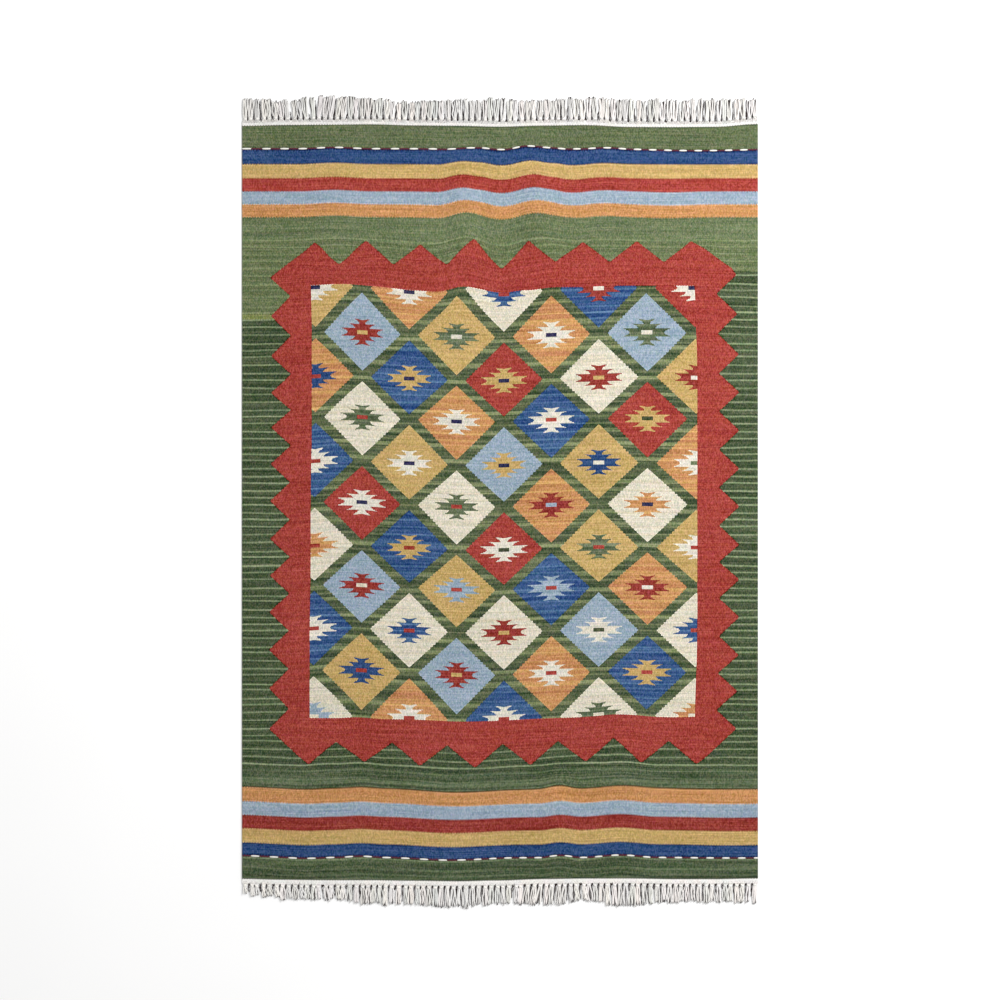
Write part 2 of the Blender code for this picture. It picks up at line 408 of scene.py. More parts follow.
# The relief and the dullness of each finish.
SURFACES = {
    # finish: fibres to a metre, share of turns and of fibres, depth, strength, dullness, change
    "wool": (1800.0, 0.75, 0.50, 0.00045, 0.8, 0.84, 0.14),
    "cotton": (1500.0, 0.70, 0.40, 0.00050, 0.7, 0.82, 0.12),
    "float": (1400.0, 0.70, 0.40, 0.00040, 0.7, 0.82, 0.12),
}

# --- The web strips and the fringe ---

WEB_SHOTS = 4
WEB_TUCK = 0.0010
WEB_RELIEF, WEB_VALLEY = 0.00028, 0.00030
# How thick the strip is along the cloth and along the fringe.
WEB_EDGES = (0.0016, 0.0024)

YARN_TILES = (28, 30)
TILE_MARGIN = 0.06
TUBE_SIDES = 6
CAP_RADIUS = 0.02

# A yarn of the fringe from its web strip outwards. It is drawn from its warp into the knot,
# opens out below it, and swells and thins on its way.
YARN_STATIONS = (
    # distance, share of the free length, drawn, opened, thickness
    (-0.0052, 0.00, 0.00, 0.00, 0.60),
    (-0.0018, 0.00, 0.00, 0.00, 0.74),
    (0.0012, 0.00, 0.20, 0.00, 0.80),
    (0.0030, 0.00, 0.75, 0.00, 0.76),
    (0.0048, 0.00, 1.00, 0.00, 0.70),
    (0.0066, 0.00, 1.00, 0.26, 0.82),
    (0.0095, 0.00, 1.00, 0.58, 0.96),
    (0.0095, 0.16, 1.00, 0.80, 1.02),
    (0.0095, 0.33, 1.00, 0.90, 1.04),
    (0.0095, 0.50, 1.00, 0.95, 1.02),
    (0.0095, 0.67, 1.00, 0.98, 1.04),
    (0.0095, 0.84, 1.00, 1.00, 0.98),
    (0.0095, 1.00, 1.00, 1.00, 0.66),
)
BELOW_KNOT = 0.0095
# Steps between the yarns of a lock: at the strip, in the knot, and below it in thicknesses.
ROOT_PITCH, KNOT_PITCH, OPEN_PITCH = 0.0031, 0.0012, 1.24
SLANT = {"head": 0.0, "foot": 0.0016}
SPLAY, DRIFT, TIP_SCATTER = (0.82, 1.16), 0.0014, (-0.0050, 0.0008)
# Each yarn sways by some distance, in some waves, from some start.
WAVE_STARTS = (0.0, 6.3)
SWAY = ((0.0003, 0.0015), (3.0, 9.0), WAVE_STARTS)
# The upper yarns of a lock, and the lower ones, which lie low enough to take the painted shade.
HIGH_YARN_SIZES, LOW_YARN_SIZE = (0.92, 1.10), 0.85
# Heights at the strip and in the knot, and of a yarn's underside below it.
HIGH_YARN_HEIGHTS, LOW_YARN_HEIGHTS = (0.0030, 0.0034, 0.0017), (0.0012, 0.0019, 0.0001)
TUCKED_FROM, TUCK_SLOPE, LOWEST_YARN = 0.0010, 0.42, 0.0008

# The yarns in the gaps, dark stand-ins for the shade between the locks: they lie low enough to take
# the painted shade, and are widest beside the knots.
GAP_KNOTTED = (0.0020, 0.0026, 0.0026, 0.0021, 0.0014, 0.0010)
GAP_FLATNESS = 0.34
GAP_WIDTHS, GAP_WIDTH = (0.4, 1.5), {"head": 0.0011, "foot": 0.0014}
GAP_THINNEST = 0.0004
GAP_LENGTHS, SHORT_GAPS = {"short": (0.25, 0.50), "long": (0.60, 0.97)}, 0.25
GAP_STATION_SHARE, GAP_BELOW_KNOT = 0.9, 0.0086
GAP_LOW, GAP_RAISED, GAP_RAISE = (0.0008, 0.0017), 0.0009, {"head": 0.0009, "foot": 0.0006}
GAP_SLANT, GAP_SLANT_TO = 1.6, 0.006
GAP_SWAY, GAP_WAVES = 0.0006, 6.0
GAP_SWELL, GAP_SWELL_WAVES, GAP_TAPER = 0.45, 9.0, 0.55
GAP_FROM_EDGE, LAST_GAP_TO = 0.0032, WIDTH / 2 + 0.0007

# The turns of yarn that tie the locks.
KNOT_TURNS, KNOT_RINGS = 2.1, 26
KNOT_SLANTS, KNOT_WIDTHS = (0.0006, 0.0016), (0.0028, 0.0035)
KNOT_REACH, KNOT_LENGTH = 0.0046, 0.0034
KNOT_Z, KNOT_HALF_HEIGHT = 0.0028, 0.0016
KNOT_YARN_RADIUS, KNOT_END_RADIUS = 0.00115, 0.0007

# --- The studio ---

FLOOR_Z, FLOOR_COLOUR = -0.0002, (1.0, 0.998, 0.995)
FLOOR_PATCHES_PER_METRE, FLOOR_SHADES = 3.0, (0.96, 0.02)
SOFTBOX_PLACE, SOFTBOX_SIZE = (2.4, 1.9, 2.6), 1.6
CAMERA_Y = 0.00465


def eased(share):
    """Ease a share between 0 and 1, flat at both ends."""
    return 0.5 - 0.5 * np.cos(np.pi * np.clip(share, 0.0, 1.0))


def end_value(x, column):
    """A column of the table of ends at x, eased from row to row."""
    place = END_COLUMNS.index(column)
    values = np.array([row[place] for row in END_ROWS])
    share = (np.asarray(x) - END_ROWS[0][0]) / (END_ROWS[1][0] - END_ROWS[0][0])
    row = np.clip(share.astype(int), 0, len(END_ROWS) - 2)
    share = share - row
    return values[row] + (values[row + 1] - values[row]) * eased(share)


def end_line(x, end):
    """How far the cloth reaches at x, straight between the columns of its solid's faces."""
    column = np.clip(np.floor((x + WIDTH / 2) / COLUMN_PITCH), 0, round(WIDTH / COLUMN_PITCH) - 1)
    left = -WIDTH / 2 + column * COLUMN_PITCH
    before = end_value(left, end + "_edge")
    after = end_value(left + COLUMN_PITCH, end + "_edge")
    return before + (after - before) * (x - left) / COLUMN_PITCH


def ripple_height(x, y):
    """How far the ripples lift the cloth off the floor."""
    height = np.zeros(np.broadcast(x, y).shape)
    for ridge_x, half_width, ridge_height, y_from, y_to in RIPPLES:
        across = np.abs(x - ridge_x) / half_width
        along = np.abs(2 * y - y_from - y_to) / (y_to - y_from)
        height += ridge_height * eased(1 - across) * eased(1 - along)
    return height


def bowed(x, y, bows):
    """The sum of a table of bumps at a place: each is level halfway out and eased beyond."""
    shift = np.zeros(np.broadcast(x, y).shape)
    for bow_x, half_width, bow_y, half_length, height in bows:
        across = 1 - np.abs(x - bow_x) / half_width
        along = 1 - np.abs(y - bow_y) / half_length
        shift += height * eased(across) * eased(2 * along)
    return shift


def pattern_place(x, y):
    """Where a point of the rug lies in the pattern as it was drawn, before it was bowed."""
    return x - bowed(x, y, WARP_BOWS), y - bowed(x, y, WEFT_BOWS)


def knot_place(knot, end):
    """The middle of a knot of an end across the rug. They aren't tied at even steps."""
    place = -WIDTH / 2 + WIDTH * (knot + 0.5) / KNOTS_PER_END
    if 0 < knot < KNOTS_PER_END - 1:
        place += random.Random("%s %d" % (end, knot)).uniform(-KNOT_DRIFT, KNOT_DRIFT)
    return place


def plan_locks(end):
    """Each lock of an end: its middle across the rug, how far out it starts and reaches, its lean.

    The longest lock reaches to HALF_LENGTH. The locks of the head part at one place.
    """
    chance = random.Random(FRINGE_SEEDS[end])
    locks = []
    for knot in range(KNOTS_PER_END):
        x = knot_place(knot, end)
        root = end_line(x, end) + PIECE_GAP + WEB_WIDTH
        tip = end_value(x, end + "_tips") + chance.uniform(-LOCK_UNEVENNESS, LOCK_UNEVENNESS)
        lean = end_value(x, end + "_lean")
        if end == "head":
            away = x - PARTING_X
            lean += math.copysign(PARTING_LEAN, away) * math.exp(-abs(away) / PARTING_SPREAD)
        locks.append((x, root, tip, lean))
    shift = HALF_LENGTH - max(tip for _, _, tip, _ in locks)
    return [(x, root, tip + shift, lean) for x, root, tip, lean in locks]


# --- Sizes and colours that a user would change ---


def linear_colour(colour):
    """A colour of 0 to 255 as seen, in the linear numbers that a shader takes."""
    shares = [value / 255 for value in colour]
    return tuple(c / 12.92 if c <= 0.04045 else ((c + 0.055) / 1.055) ** 2.4 for c in shares)


def colour_property(name, description, colour):
    """A colour that a user can change. It starts as a colour of 0 to 255."""
    return FloatVectorProperty(name=name, description=description, subtype="COLOR",
                               default=linear_colour(colour), min=0.0, max=1.0)


class KilimSizes(bpy.types.PropertyGroup):
    """Sizes of the weave, the twining and the fringe."""

    rib_height: FloatProperty(
        name="Rib height", description="How far the weave stands proud over each warp",
        default=0.00040, unit="LENGTH", precision=5)
    bead_length: FloatProperty(
        name="Bead length", description="Length of weft that shows between two warps",
        default=0.0024, unit="LENGTH", precision=4)
    float_width: FloatProperty(
        name="Float width", description="Width of the floats of the twined line",
        default=0.0040, unit="LENGTH", precision=4)
    yarns_per_lock: IntProperty(
        name="Yarns per lock", description="Yarns below each knot of the fringe",
        default=7, min=3, max=9)
    yarn_thickness: FloatProperty(
        name="Yarn thickness", description="Thickness of one yarn of the fringe",
        default=0.0025, unit="LENGTH", precision=4)


class KilimColours(bpy.types.PropertyGroup):
    """Colours of the yarns and of the fringe."""

    daylight: FloatProperty(
        name="Daylight", description="Brightness of the light that the yarns were matched in",
        default=1.24, min=0.5, max=2.0, subtype="FACTOR")
    cotton: colour_property(
        "Cotton", "Undyed cotton of the web strips and the fringe", (246, 243, 239))
    # Painted shade: the dark colour that stands in for the shade low between the yarns of the
    # fringe and under the web strips.
    cotton_painted_shade: colour_property(
        "Cotton in the depth", "Soiled cotton deep between the yarns of the fringe", (58, 47, 45))
    maroon: colour_property("Maroon", "The dark yarn of the twined line", (96, 48, 60))


for yarn, yarn_colour, yarn_streak, *_ in YARNS:
    plain_name = yarn.replace("_", " ")
    KilimColours.__annotations__[yarn] = colour_property(
        plain_name.capitalize(), "Colour of the %s yarn" % plain_name, yarn_colour)
    KilimColours.__annotations__[yarn + "_streak"] = colour_property(
        plain_name.capitalize() + " streak", "Colour of the streaks in the %s yarn" % plain_name,
        yarn_streak)


class KilimStudio(bpy.types.PropertyGroup):
    """The studio around the rug."""

    lens: FloatProperty(
        name="Lens", description="Focal length of the camera", default=85.0, min=20.0, max=300.0)
    view_width: FloatProperty(
        name="View width", description="Width of floor that the camera sees",
        default=2.3256, unit="LENGTH")
    fill_light: FloatProperty(
        name="Fill light", description="Strength of the even light from all round",
        default=0.71, min=0.0, max=5.0)
    key_light: FloatProperty(
        name="Key light", description="Power of the soft lamp at the head end",
        default=150.0, min=0.0, max=1000.0)


# --- Material nodes, reckoned with as plain numbers ---


def feed(tree, socket, value):
    """Link a wire to a socket, or set a plain value on it. A plain colour is three numbers."""
    if isinstance(value, Wire):
        tree.links.new(value.socket, socket)
    else:
        socket.default_value = (*value, 1.0) if socket.type == "RGBA" else value


def add_node(tree, kind, values=(), **settings):
    """A new shader node with its settings, and values for its sockets by number or name."""
    node = tree.nodes.new("ShaderNode" + kind)
    for setting, value in settings.items():
        setattr(node, setting, value)
    for socket, value in dict(values).items():
        feed(tree, node.inputs[socket], value)
    return node


def wires(kind, values, **settings):
    """The outputs of a new node in the tree of its wired values."""
    values = dict(values)
    tree = next(value.tree for value in values.values() if isinstance(value, Wire))
    return [Wire(tree, output) for output in add_node(tree, kind, values, **settings).outputs]


def wire(kind, values, output=0, **settings):
    """One output of a new node."""
    return wires(kind, values, **settings)[output]


class Wire:
    """A number or colour that runs through a material's nodes."""

    def __init__(self, tree, socket):
        self.tree = tree
        self.socket = socket

    def reckon(self, operation, *others):
        """A sum that starts with this number."""
        return wire("Math", enumerate((self, *others)), operation=operation)

    __add__ = partialmethod(reckon, "ADD")
    __sub__ = partialmethod(reckon, "SUBTRACT")
    __mul__ = partialmethod(reckon, "MULTIPLY")
    __truediv__ = partialmethod(reckon, "DIVIDE")
    __mod__ = partialmethod(reckon, "FLOORED_MODULO")
    __gt__ = partialmethod(reckon, "GREATER_THAN")
    __lt__ = partialmethod(reckon, "LESS_THAN")
    __abs__ = partialmethod(reckon, "ABSOLUTE")
    floor = partialmethod(reckon, "FLOOR")
    sine = partialmethod(reckon, "SINE")
    least = partialmethod(reckon, "MINIMUM")
    most = partialmethod(reckon, "MAXIMUM")

    def __rsub__(self, other):
        return wire("Math", enumerate((other, self)), operation="SUBTRACT")

    def stepped(self, steps, depth=1.0):
        """A value moved towards the middle of its step, with so many steps to 1."""
        middle = ((self * steps).floor() + 0.5) / steps
        return middle if depth == 1.0 else middle * depth + self * (1.0 - depth)

    def from_tooth(self, last, first_slope, last_slope):
        """0 at a tooth's tip and 1 at a notch, and straight on beyond the first and last tooth."""
        inside = self.most(0.0).least(float(last))
        near = (inside + 0.5).floor()
        beyond = (inside - self).most(0.0) * first_slope + (self - inside).most(0.0) * last_slope
        return abs(inside - near) * 2 + beyond

    def soft_step(self, low, high):
        """0 below low, 1 above high and eased between."""
        values = {"Value": self, "From Min": low, "From Max": high}
        return wire("MapRange", values, interpolation_type="SMOOTHSTEP")

    def parts(self, kind="SeparateColor"):
        """The three numbers of a colour, or of a place."""
        return wires(kind, {0: self})


def choose(mask, chosen, other):
    """One number where the mask is 1, and another where it is 0."""
    return wire("Mix", {0: mask, 2: other, 3: chosen}, data_type="FLOAT")


def blend_colours(share, first, second, blend_type="MIX"):
    """A colour between two, or their product by a share."""
    values = {0: share, 6: first, 7: second}
    return wire("Mix", values, 2, data_type="RGBA", blend_type=blend_type)


def vector(*numbers):
    """Three numbers as one vector."""
    return wire("CombineXYZ", enumerate(numbers))


def speckle(*numbers):
    """A random number and a random colour for every whole place."""
    return wires("TexWhiteNoise", {"Vector": vector(*numbers)}, noise_dimensions="3D")


def drawn_cloud(across, along, per_metre_across, per_metre_along, seed, detail):
    """Soft noise that is drawn out across or along the rug."""
    return cloud(vector(across * per_metre_across, along * per_metre_along, seed), 1.0, detail)


def cloud(place, scale, detail):
    """Soft noise, as one number between 0 and 1 and as three that drift on their own."""
    return wires("TexNoise", {"Vector": place, "Scale": scale, "Detail": detail})


def shifted_colour(colour, chance, amounts, change):
    """A colour moved by a random colour, as far as the three amounts, and by an even change."""
    offsets = [change - amount / 2 for amount in amounts]
    if isinstance(change, Wire):
        offsets = vector(*offsets)
    scatter = wire("VectorMath", {0: chance, 1: amounts, 2: offsets}, operation="MULTIPLY_ADD")
    return wire("VectorMath", {0: colour, 1: scatter}, operation="ADD")


def graph(value, points):
    """A value between 0 and 1 read off a graph of straight lines."""
    reading = wire("FloatCurve", {"Value": value})
    mapping = reading.socket.node.mapping
    curve = mapping.curves[0]
    curve.points[0].location = points[0]
    curve.points[1].location = points[-1]
    for point in points[1:-1]:
        curve.points.new(*point)
    for point in curve.points:
        point.handle_type = "VECTOR"
    mapping.update()
    return reading


def lookup(value, stops, interpolation="CONSTANT"):
    """A value between 0 and 1 looked up in a table of positions and colours."""
    colour_found = wire("ValToRGB", {0: value})
    ramp = colour_found.socket.node.color_ramp
    ramp.interpolation = interpolation
    for element, (position, colour) in zip(ramp.elements, stops[:2]):
        element.position, element.color = position, (*colour, 1.0)
    for position, colour in stops[2:]:
        ramp.elements.new(position).color = (*colour, 1.0)
    return colour_found


def grey(value):
    """One number as a colour."""
    return (value, value, value)


def new_material(name):
    """A dull material, with its node tree and its shader."""
    material = bpy.data.materials.new(name)
    material.use_nodes = True
    tree = material.node_tree
    shader = tree.nodes["Principled BSDF"]
    shader.inputs["Metallic"].default_value = 0.0
    shader.inputs["Specular IOR Level"].default_value = 0.08
    return material, tree, shader


def map_place(tree):
    """The two numbers of the piece's own map."""
    node = add_node(tree, "UVMap", uv_map="OFBake")
    return Wire(tree, node.outputs[0]).parts("SeparateXYZ")[:2]


def object_place(tree):
    """The place on the object, as a vector and as its three numbers."""
    place = Wire(tree, add_node(tree, "TexCoord").outputs["Object"])
    return place, place.parts("SeparateXYZ")


def fibres(finish, place):
    """The fine noise of a finish's fibres."""
    return cloud(place, SURFACES[finish][0], detail=2.0)[0]


def spin_surface(finish, tree, shader, colour, turns, fibre):
    """Give a shader its colour, the relief of its turns of yarn and the dullness of its fibres."""
    _, turn_share, fibre_share, distance, strength, dullness, change = SURFACES[finish]
    height = turns * turn_share + fibre * fibre_share
    bump = add_node(tree, "Bump", {"Strength": strength, "Distance": distance, "Height": height})
    feed(tree, shader.inputs["Normal"], Wire(tree, bump.outputs[0]))
    feed(tree, shader.inputs["Base Color"], colour)
    feed(tree, shader.inputs["Roughness"], fibre * change + dullness)


YARN_NUMBER = {row[0]: number for number, row in enumerate(YARNS)}


def end_bands(along, end):
    """The number of the yarn of an end's bands, and how far the nearest join of two is."""
    start, finish, bands = BANDS[end]
    length = finish - start
    share = (along - start) / length
    places = [(y - start) / length for y, _ in bands]
    yarns = [grey(YARN_NUMBER[yarn] / YARN_SLOTS) for _, yarn in bands]
    joins = places[1:]
    distances = [(0.0, 1.0), (1.0, 1.0)] + [(join, 0.0) for join in joins]
    for middle in [(before + after) / 2 for before, after in zip(joins, joins[1:])]:
        nearest = min(abs(middle - join) for join in joins)
        distances.append((middle, nearest * length / JOIN_REACH))
    distances = [(place, grey(distance)) for place, distance in sorted(distances)]
    number = lookup(share, list(zip(places, yarns))).parts()[0] * YARN_SLOTS
    return number, lookup(share, distances, "LINEAR").parts()[0] * JOIN_REACH


def end_teeth_line(across, end):
    """The y of an end's row of teeth at a place across the rug."""
    first_tip, pitch, tip, notch, *corner_slopes = END_TEETH[end]
    turn = ((across - first_tip) / pitch).stepped(STEPS_PER_END_TOOTH, STEP_DEPTH)
    return turn.from_tooth(TEETH_PER_END - 1, *corner_slopes) * (notch - tip) + tip


def side_teeth_line(along, side):
    """The x of a side's teeth at a place along the rug."""
    tip_x, notch_x, _, *corner_slopes = SIDE_LINES[side]
    tips = [pattern_place(tip_x, y)[1] for y in SIDE_TIPS[side]]
    before = (1 + TURNS_BEYOND) * tips[0] - TURNS_BEYOND * tips[1]
    after = (1 + TURNS_BEYOND) * tips[-1] - TURNS_BEYOND * tips[-2]
    last = len(tips) - 1
    turns = [-TURNS_BEYOND, *range(last + 1), last + TURNS_BEYOND]
    reach = last + 2 * TURNS_BEYOND
    points = sorted((y / PATTERN_LENGTH + 0.5, (turn + TURNS_BEYOND) / reach)
                    for y, turn in zip([before, *tips, after], turns))
    turn = graph(along / PATTERN_LENGTH + 0.5, points) * reach - TURNS_BEYOND
    turn = turn.stepped(STEPS_PER_SIDE_TOOTH, STEP_DEPTH)
    return turn.from_tooth(last, *corner_slopes) * (notch_x - tip_x) + tip_x


def diamond_yarns(place, start_row, rows):
    """The three yarn numbers of a diamond, looked up by its place in part of the chart."""
    slots = rows * CHART_COLUMNS
    stops = []
    for row in range(rows):
        for column, letters in enumerate(CHART[start_row + row].split()):
            numbers = tuple(YARN_NUMBER[LETTERS[letter]] / YARN_SLOTS for letter in letters)
            stops.append(((row * CHART_COLUMNS + column) / slots, numbers))
    return lookup((place - start_row * CHART_COLUMNS + 0.5) / slots, stops)


def row_turn_at(along):
    """How many rows of diamonds from the head a place lies. Their heights are uneven."""
    last = len(DIAMOND_ROWS) - 1 + TURNS_BEYOND
    reach = last + TURNS_BEYOND
    points = [(y / PATTERN_LENGTH + 0.5, (last - row) / reach)
              for row, y in enumerate(DIAMOND_ROWS)]
    beyond = TURNS_BEYOND * DIAMOND_ROW_PITCH / PATTERN_LENGTH
    points = [(points[-1][0] - beyond, 0.0), *points[::-1], (points[0][0] + beyond, 1.0)]
    return last - graph(along / PATTERN_LENGTH + 0.5, points) * reach


def field_number(across, along):
    """The number of the yarn in the field of diamonds, and how far the nearest join is."""
    row_turn = row_turn_at(along)
    column_turn = (across - DIAMOND_X) / DIAMOND_COLUMN_PITCH
    stepped_row = row_turn.stepped(DIAMOND_ROW_STEPS, STEP_DEPTH)
    stepped_column = column_turn.stepped(DIAMOND_COLUMN_STEPS, STEP_DEPTH)
    sum_place = ((stepped_column + stepped_row) * 0.5 + 0.5).floor()
    difference_place = ((stepped_column - stepped_row) * 0.5 + 0.5).floor()
    column = sum_place + difference_place
    row = sum_place - difference_place
    aside = abs(stepped_column - column) / DIAMOND_HALF_WIDTH
    aside = aside + abs(stepped_row - row) / DIAMOND_HALF_HEIGHT
    in_diamond = aside < 1.0

    place = row * CHART_COLUMNS + (column * 0.5).floor()
    head_part = diamond_yarns(place, 0, CHART_SPLIT)
    foot_part = diamond_yarns(place, CHART_SPLIT, len(CHART) - CHART_SPLIT)
    yarns = blend_colours(row > (CHART_SPLIT - 0.5), head_part, foot_part)
    ground, eye, centre = [part * YARN_SLOTS for part in yarns.parts()]

    size = speckle(column, row, EYE_SEED)[0] * EYE_SIZES[1] + EYE_SIZES[0]
    eye_x = abs(column_turn.stepped(MOTIF_STEPS, MOTIF_STEP_DEPTH) - column)
    eye_x = eye_x * DIAMOND_COLUMN_PITCH / size
    eye_y = abs(row_turn.stepped(MOTIF_STEPS, MOTIF_STEP_DEPTH) - row) * DIAMOND_ROW_PITCH
    eye_y = eye_y / (eye_x * EYE_FAN + 1.0)
    outline = [(y / EYE_REACH, grey(x / EYE_WIDEST)) for y, x in EYE_OUTLINE]
    half_width = lookup(eye_y / EYE_REACH, outline, "LINEAR").parts()[0] * EYE_WIDEST
    eye_end = EYE_OUTLINE[-1][0]
    in_eye = (eye_x < half_width) * (eye_y < eye_end)
    in_centre = (eye_x < EYE_CENTRE[0]) * (eye_y < EYE_CENTRE[1])
    number = choose(in_centre, centre, choose(in_eye, eye, ground))
    from_eye = abs(eye_x - half_width) * EYE_EDGE_SLOPE + (eye_y > eye_end + EYE_END_MARGIN) * 1.0
    join = from_eye.least(abs(aside - 1.0) * DIAMOND_EDGE_SLOPE)
    return choose(in_diamond, number, YARN_NUMBER["field_green"]), join


def pattern_number(across, along, comb):
    """The number of the yarn that shows at each place, and how far the nearest join is."""
    toothed = along + comb
    head, head_join = end_bands(toothed, "head")
    foot, foot_join = end_bands(toothed, "foot")
    change_y = (across > 0) * (SIDE_CHANGE["right"] - SIDE_CHANGE["left"]) + SIDE_CHANGE["left"]
    side = choose(along > change_y, YARN_NUMBER["tooth_green"], YARN_NUMBER["side_green"])
    in_olive = (abs(toothed - OLIVE_Y) < OLIVE_HALF_WIDTH) * (across < 0)
    side = choose(in_olive, YARN_NUMBER["olive"], side)
    side = choose(along > LIGHT_GREEN_FROM, YARN_NUMBER["light_green"], side)
    side = choose(along < FOOT_GREEN_TO, YARN_NUMBER["foot_green"], side)
    number = choose(toothed > BANDS["head"][0], head, side)
    number = choose(toothed < BANDS["foot"][1], foot, number)
    join = head_join.least(foot_join)

    inside = end_teeth_line(across, "head") - along
    inside = inside.least(along - end_teeth_line(across, "foot"))
    inside = inside.least(across - side_teeth_line(along, "left"))
    inside = inside.least(side_teeth_line(along, "right") - across)
    number = choose(inside > 0, YARN_NUMBER["red"], number)
    join = join.least(abs(inside) * TOOTH_EDGE_SLOPE)

    within = (across - SIDE_LINES["left"][2]).least(SIDE_LINES["right"][2] - across)
    woven = along + comb * FIELD_COMB_SHARE
    within = within.least(FIELD_HEAD - woven).least(woven - FIELD_FOOT)
    field, field_join = field_number(across, along)
    number = choose(within > 0, field, number)
    join = choose(within > 0, field_join + FIELD_JOIN_MARGIN, join)
    return number, join.least(abs(within) + FIELD_EDGE_MARGIN)


def weft_lines(along, spacing, scatter, thickness, weakest, seed):
    """Lines of weft of another shade, unevenly spaced, each with its own strength."""
    place = (along / spacing).floor()
    chance, strength = speckle(place, seed, 0.0)
    middle = (place + 0.5 + (chance - 0.5) * scatter) * spacing
    line = 1.0 - abs(along - middle).soft_step(thickness * LINE_CORE, thickness * LINE_EDGE)
    return line * (strength.parts()[1] * (1.0 - weakest) + weakest)


def yarn_shades(slot, colours, suffix=""):
    """The colour of each yarn, or of its streaks, by its slot."""
    return lookup(slot, [(number / YARN_SLOTS, tuple(getattr(colours, name + suffix)))
                         for name, number in YARN_NUMBER.items()])


def streaked_wool(number, across, along, colours):
    """The colour of each yarn with its lines, streaks and soft clouds of another shade."""
    slot = (number + 0.5) / YARN_SLOTS
    habits = [(number / YARN_SLOTS, row[3:6]) for number, row in enumerate(YARNS)]
    pins, broad, cloudy = lookup(slot, habits).parts()
    # A weft wanders a little on its way across, so its lines aren't ruled.
    wander, _ = drawn_cloud(across, along, *WANDER_NOISE)
    woven = along + (wander - 0.5) * WEFT_WANDER
    fine = weft_lines(woven, *FINE_LINES)
    wide = weft_lines(woven, *WIDE_LINES)
    soft = drawn_cloud(across, along, *SOFT_NOISE)[0].soft_step(*SOFT_STREAKS)
    share = (fine * pins + wide * broad + soft * cloudy).least(1.0)
    return blend_colours(share, yarn_shades(slot, colours), yarn_shades(slot, colours, "_streak"))


def heathered(colour, across, along, odd, join, bead_length):
    """The colour with every bead's own tone, every shot's streaks, and patches that drift."""
    cell = bead_length * BEADS_PER_CELL
    warp = across * (WARPS / WIDTH)
    shot = ((along + odd * cell * 0.5) / cell).floor()
    tone, tint = speckle((across * (2 * WARPS / WIDTH)).floor(), shot, BEAD_SEED)
    run_place = ((along + odd * RUN_OFFSET) / RUN_LENGTH).floor()
    run, _ = speckle(warp.floor(), run_place, RUN_SEED)
    streak, dye = drawn_cloud(across, along, *STREAK_NOISE)
    patch, drift = cloud(vector(across, along, PATCH_SEED), PATCHES_PER_METRE, detail=3.0)
    wide_place = vector(across, along, WIDE_PATCH_SEED)
    wide_patch, _ = cloud(wide_place, WIDE_PATCHES_PER_METRE, detail=2.0)
    # Painted rib shading: the tone rises and falls across each warp.
    rib = abs((warp * math.pi).sine())
    change = (tone - 0.5) * WOOL_TONES["bead"] + (run - 0.5) * WOOL_TONES["run"]
    change = change + (streak - 0.5) * WOOL_TONES["streak"] + (patch - 0.5) * WOOL_TONES["patch"]
    change = change + (wide_patch - 0.5) * WOOL_TONES["wide_patch"]
    change = change + (rib - MEAN_SINE) * WOOL_TONES["rib"]
    seen = wire("Gamma", {0: colour, 1: 1 / SEEN_GAMMA})
    seen = shifted_colour(seen, tint, WOOL_TINTS["bead"], change)
    seen = shifted_colour(seen, drift, WOOL_TINTS["patch"], 0.0)
    seen = shifted_colour(seen, dye, WOOL_TINTS["streak"], 0.0)
    # At a join of two colours the light yarn stands proud of the dark one and shades it.
    near = 1.0 - join.soft_step(*JOIN_SHADE)
    _, bright = wires("VectorMath", {0: seen, 1: LUMINANCE}, operation="DOT_PRODUCT")
    step = (bright - 0.50) * near * JOIN_CONTRAST
    lifted = wire("VectorMath", {0: seen, 1: vector(step, step, step)}, operation="ADD")
    return wire("Gamma", {0: lifted, 1: SEEN_GAMMA})


def wool_material(colours, sizes):
    """Weft-faced wool in every colour of the pattern."""
    material, tree, shader = new_material("woven_wool_pattern")
    u, v = map_place(tree)
    across = (u - 0.5) * PATTERN_WIDTH
    along = (v - 0.5) * PATTERN_LENGTH
    odd = (across * (WARPS / WIDTH)).floor() % 2
    comb = (odd - 0.5) * COMB_DEPTH
    number, join = pattern_number(across, along, comb)
    colour = streaked_wool(number, across, along, colours)
    colour = heathered(colour, across, along, odd, join, sizes.bead_length)

    # The last few wefts at each end are darker, and a shot of cotton closes them.
    reach = Wire(tree, add_node(tree, "Attribute", attribute_name="from_end").outputs["Fac"])
    from_end = reach - comb * END_COMB_SHARE
    ends = from_end.soft_step(*DARK_WEFTS) * (1.0 - DARKEST_WEFT) + DARKEST_WEFT
    colour = blend_colours(ends, (0.0, 0.0, 0.0), colour)
    cotton_shot = 1.0 - from_end.soft_step(*COTTON_SHOT)
    colour = blend_colours(cotton_shot, colour, tuple(colours.cotton))
    # The daylight that the yarns were matched in is taken out.
    colour = blend_colours(1.0, colour, grey(1 / colours.daylight), "MULTIPLY")

    bead = abs((((along / sizes.bead_length) + odd * 0.5) * math.pi).sine())
    fibre = fibres("wool", object_place(tree)[0])
    spin_surface("wool", tree, shader, colour, bead, fibre)
    return material


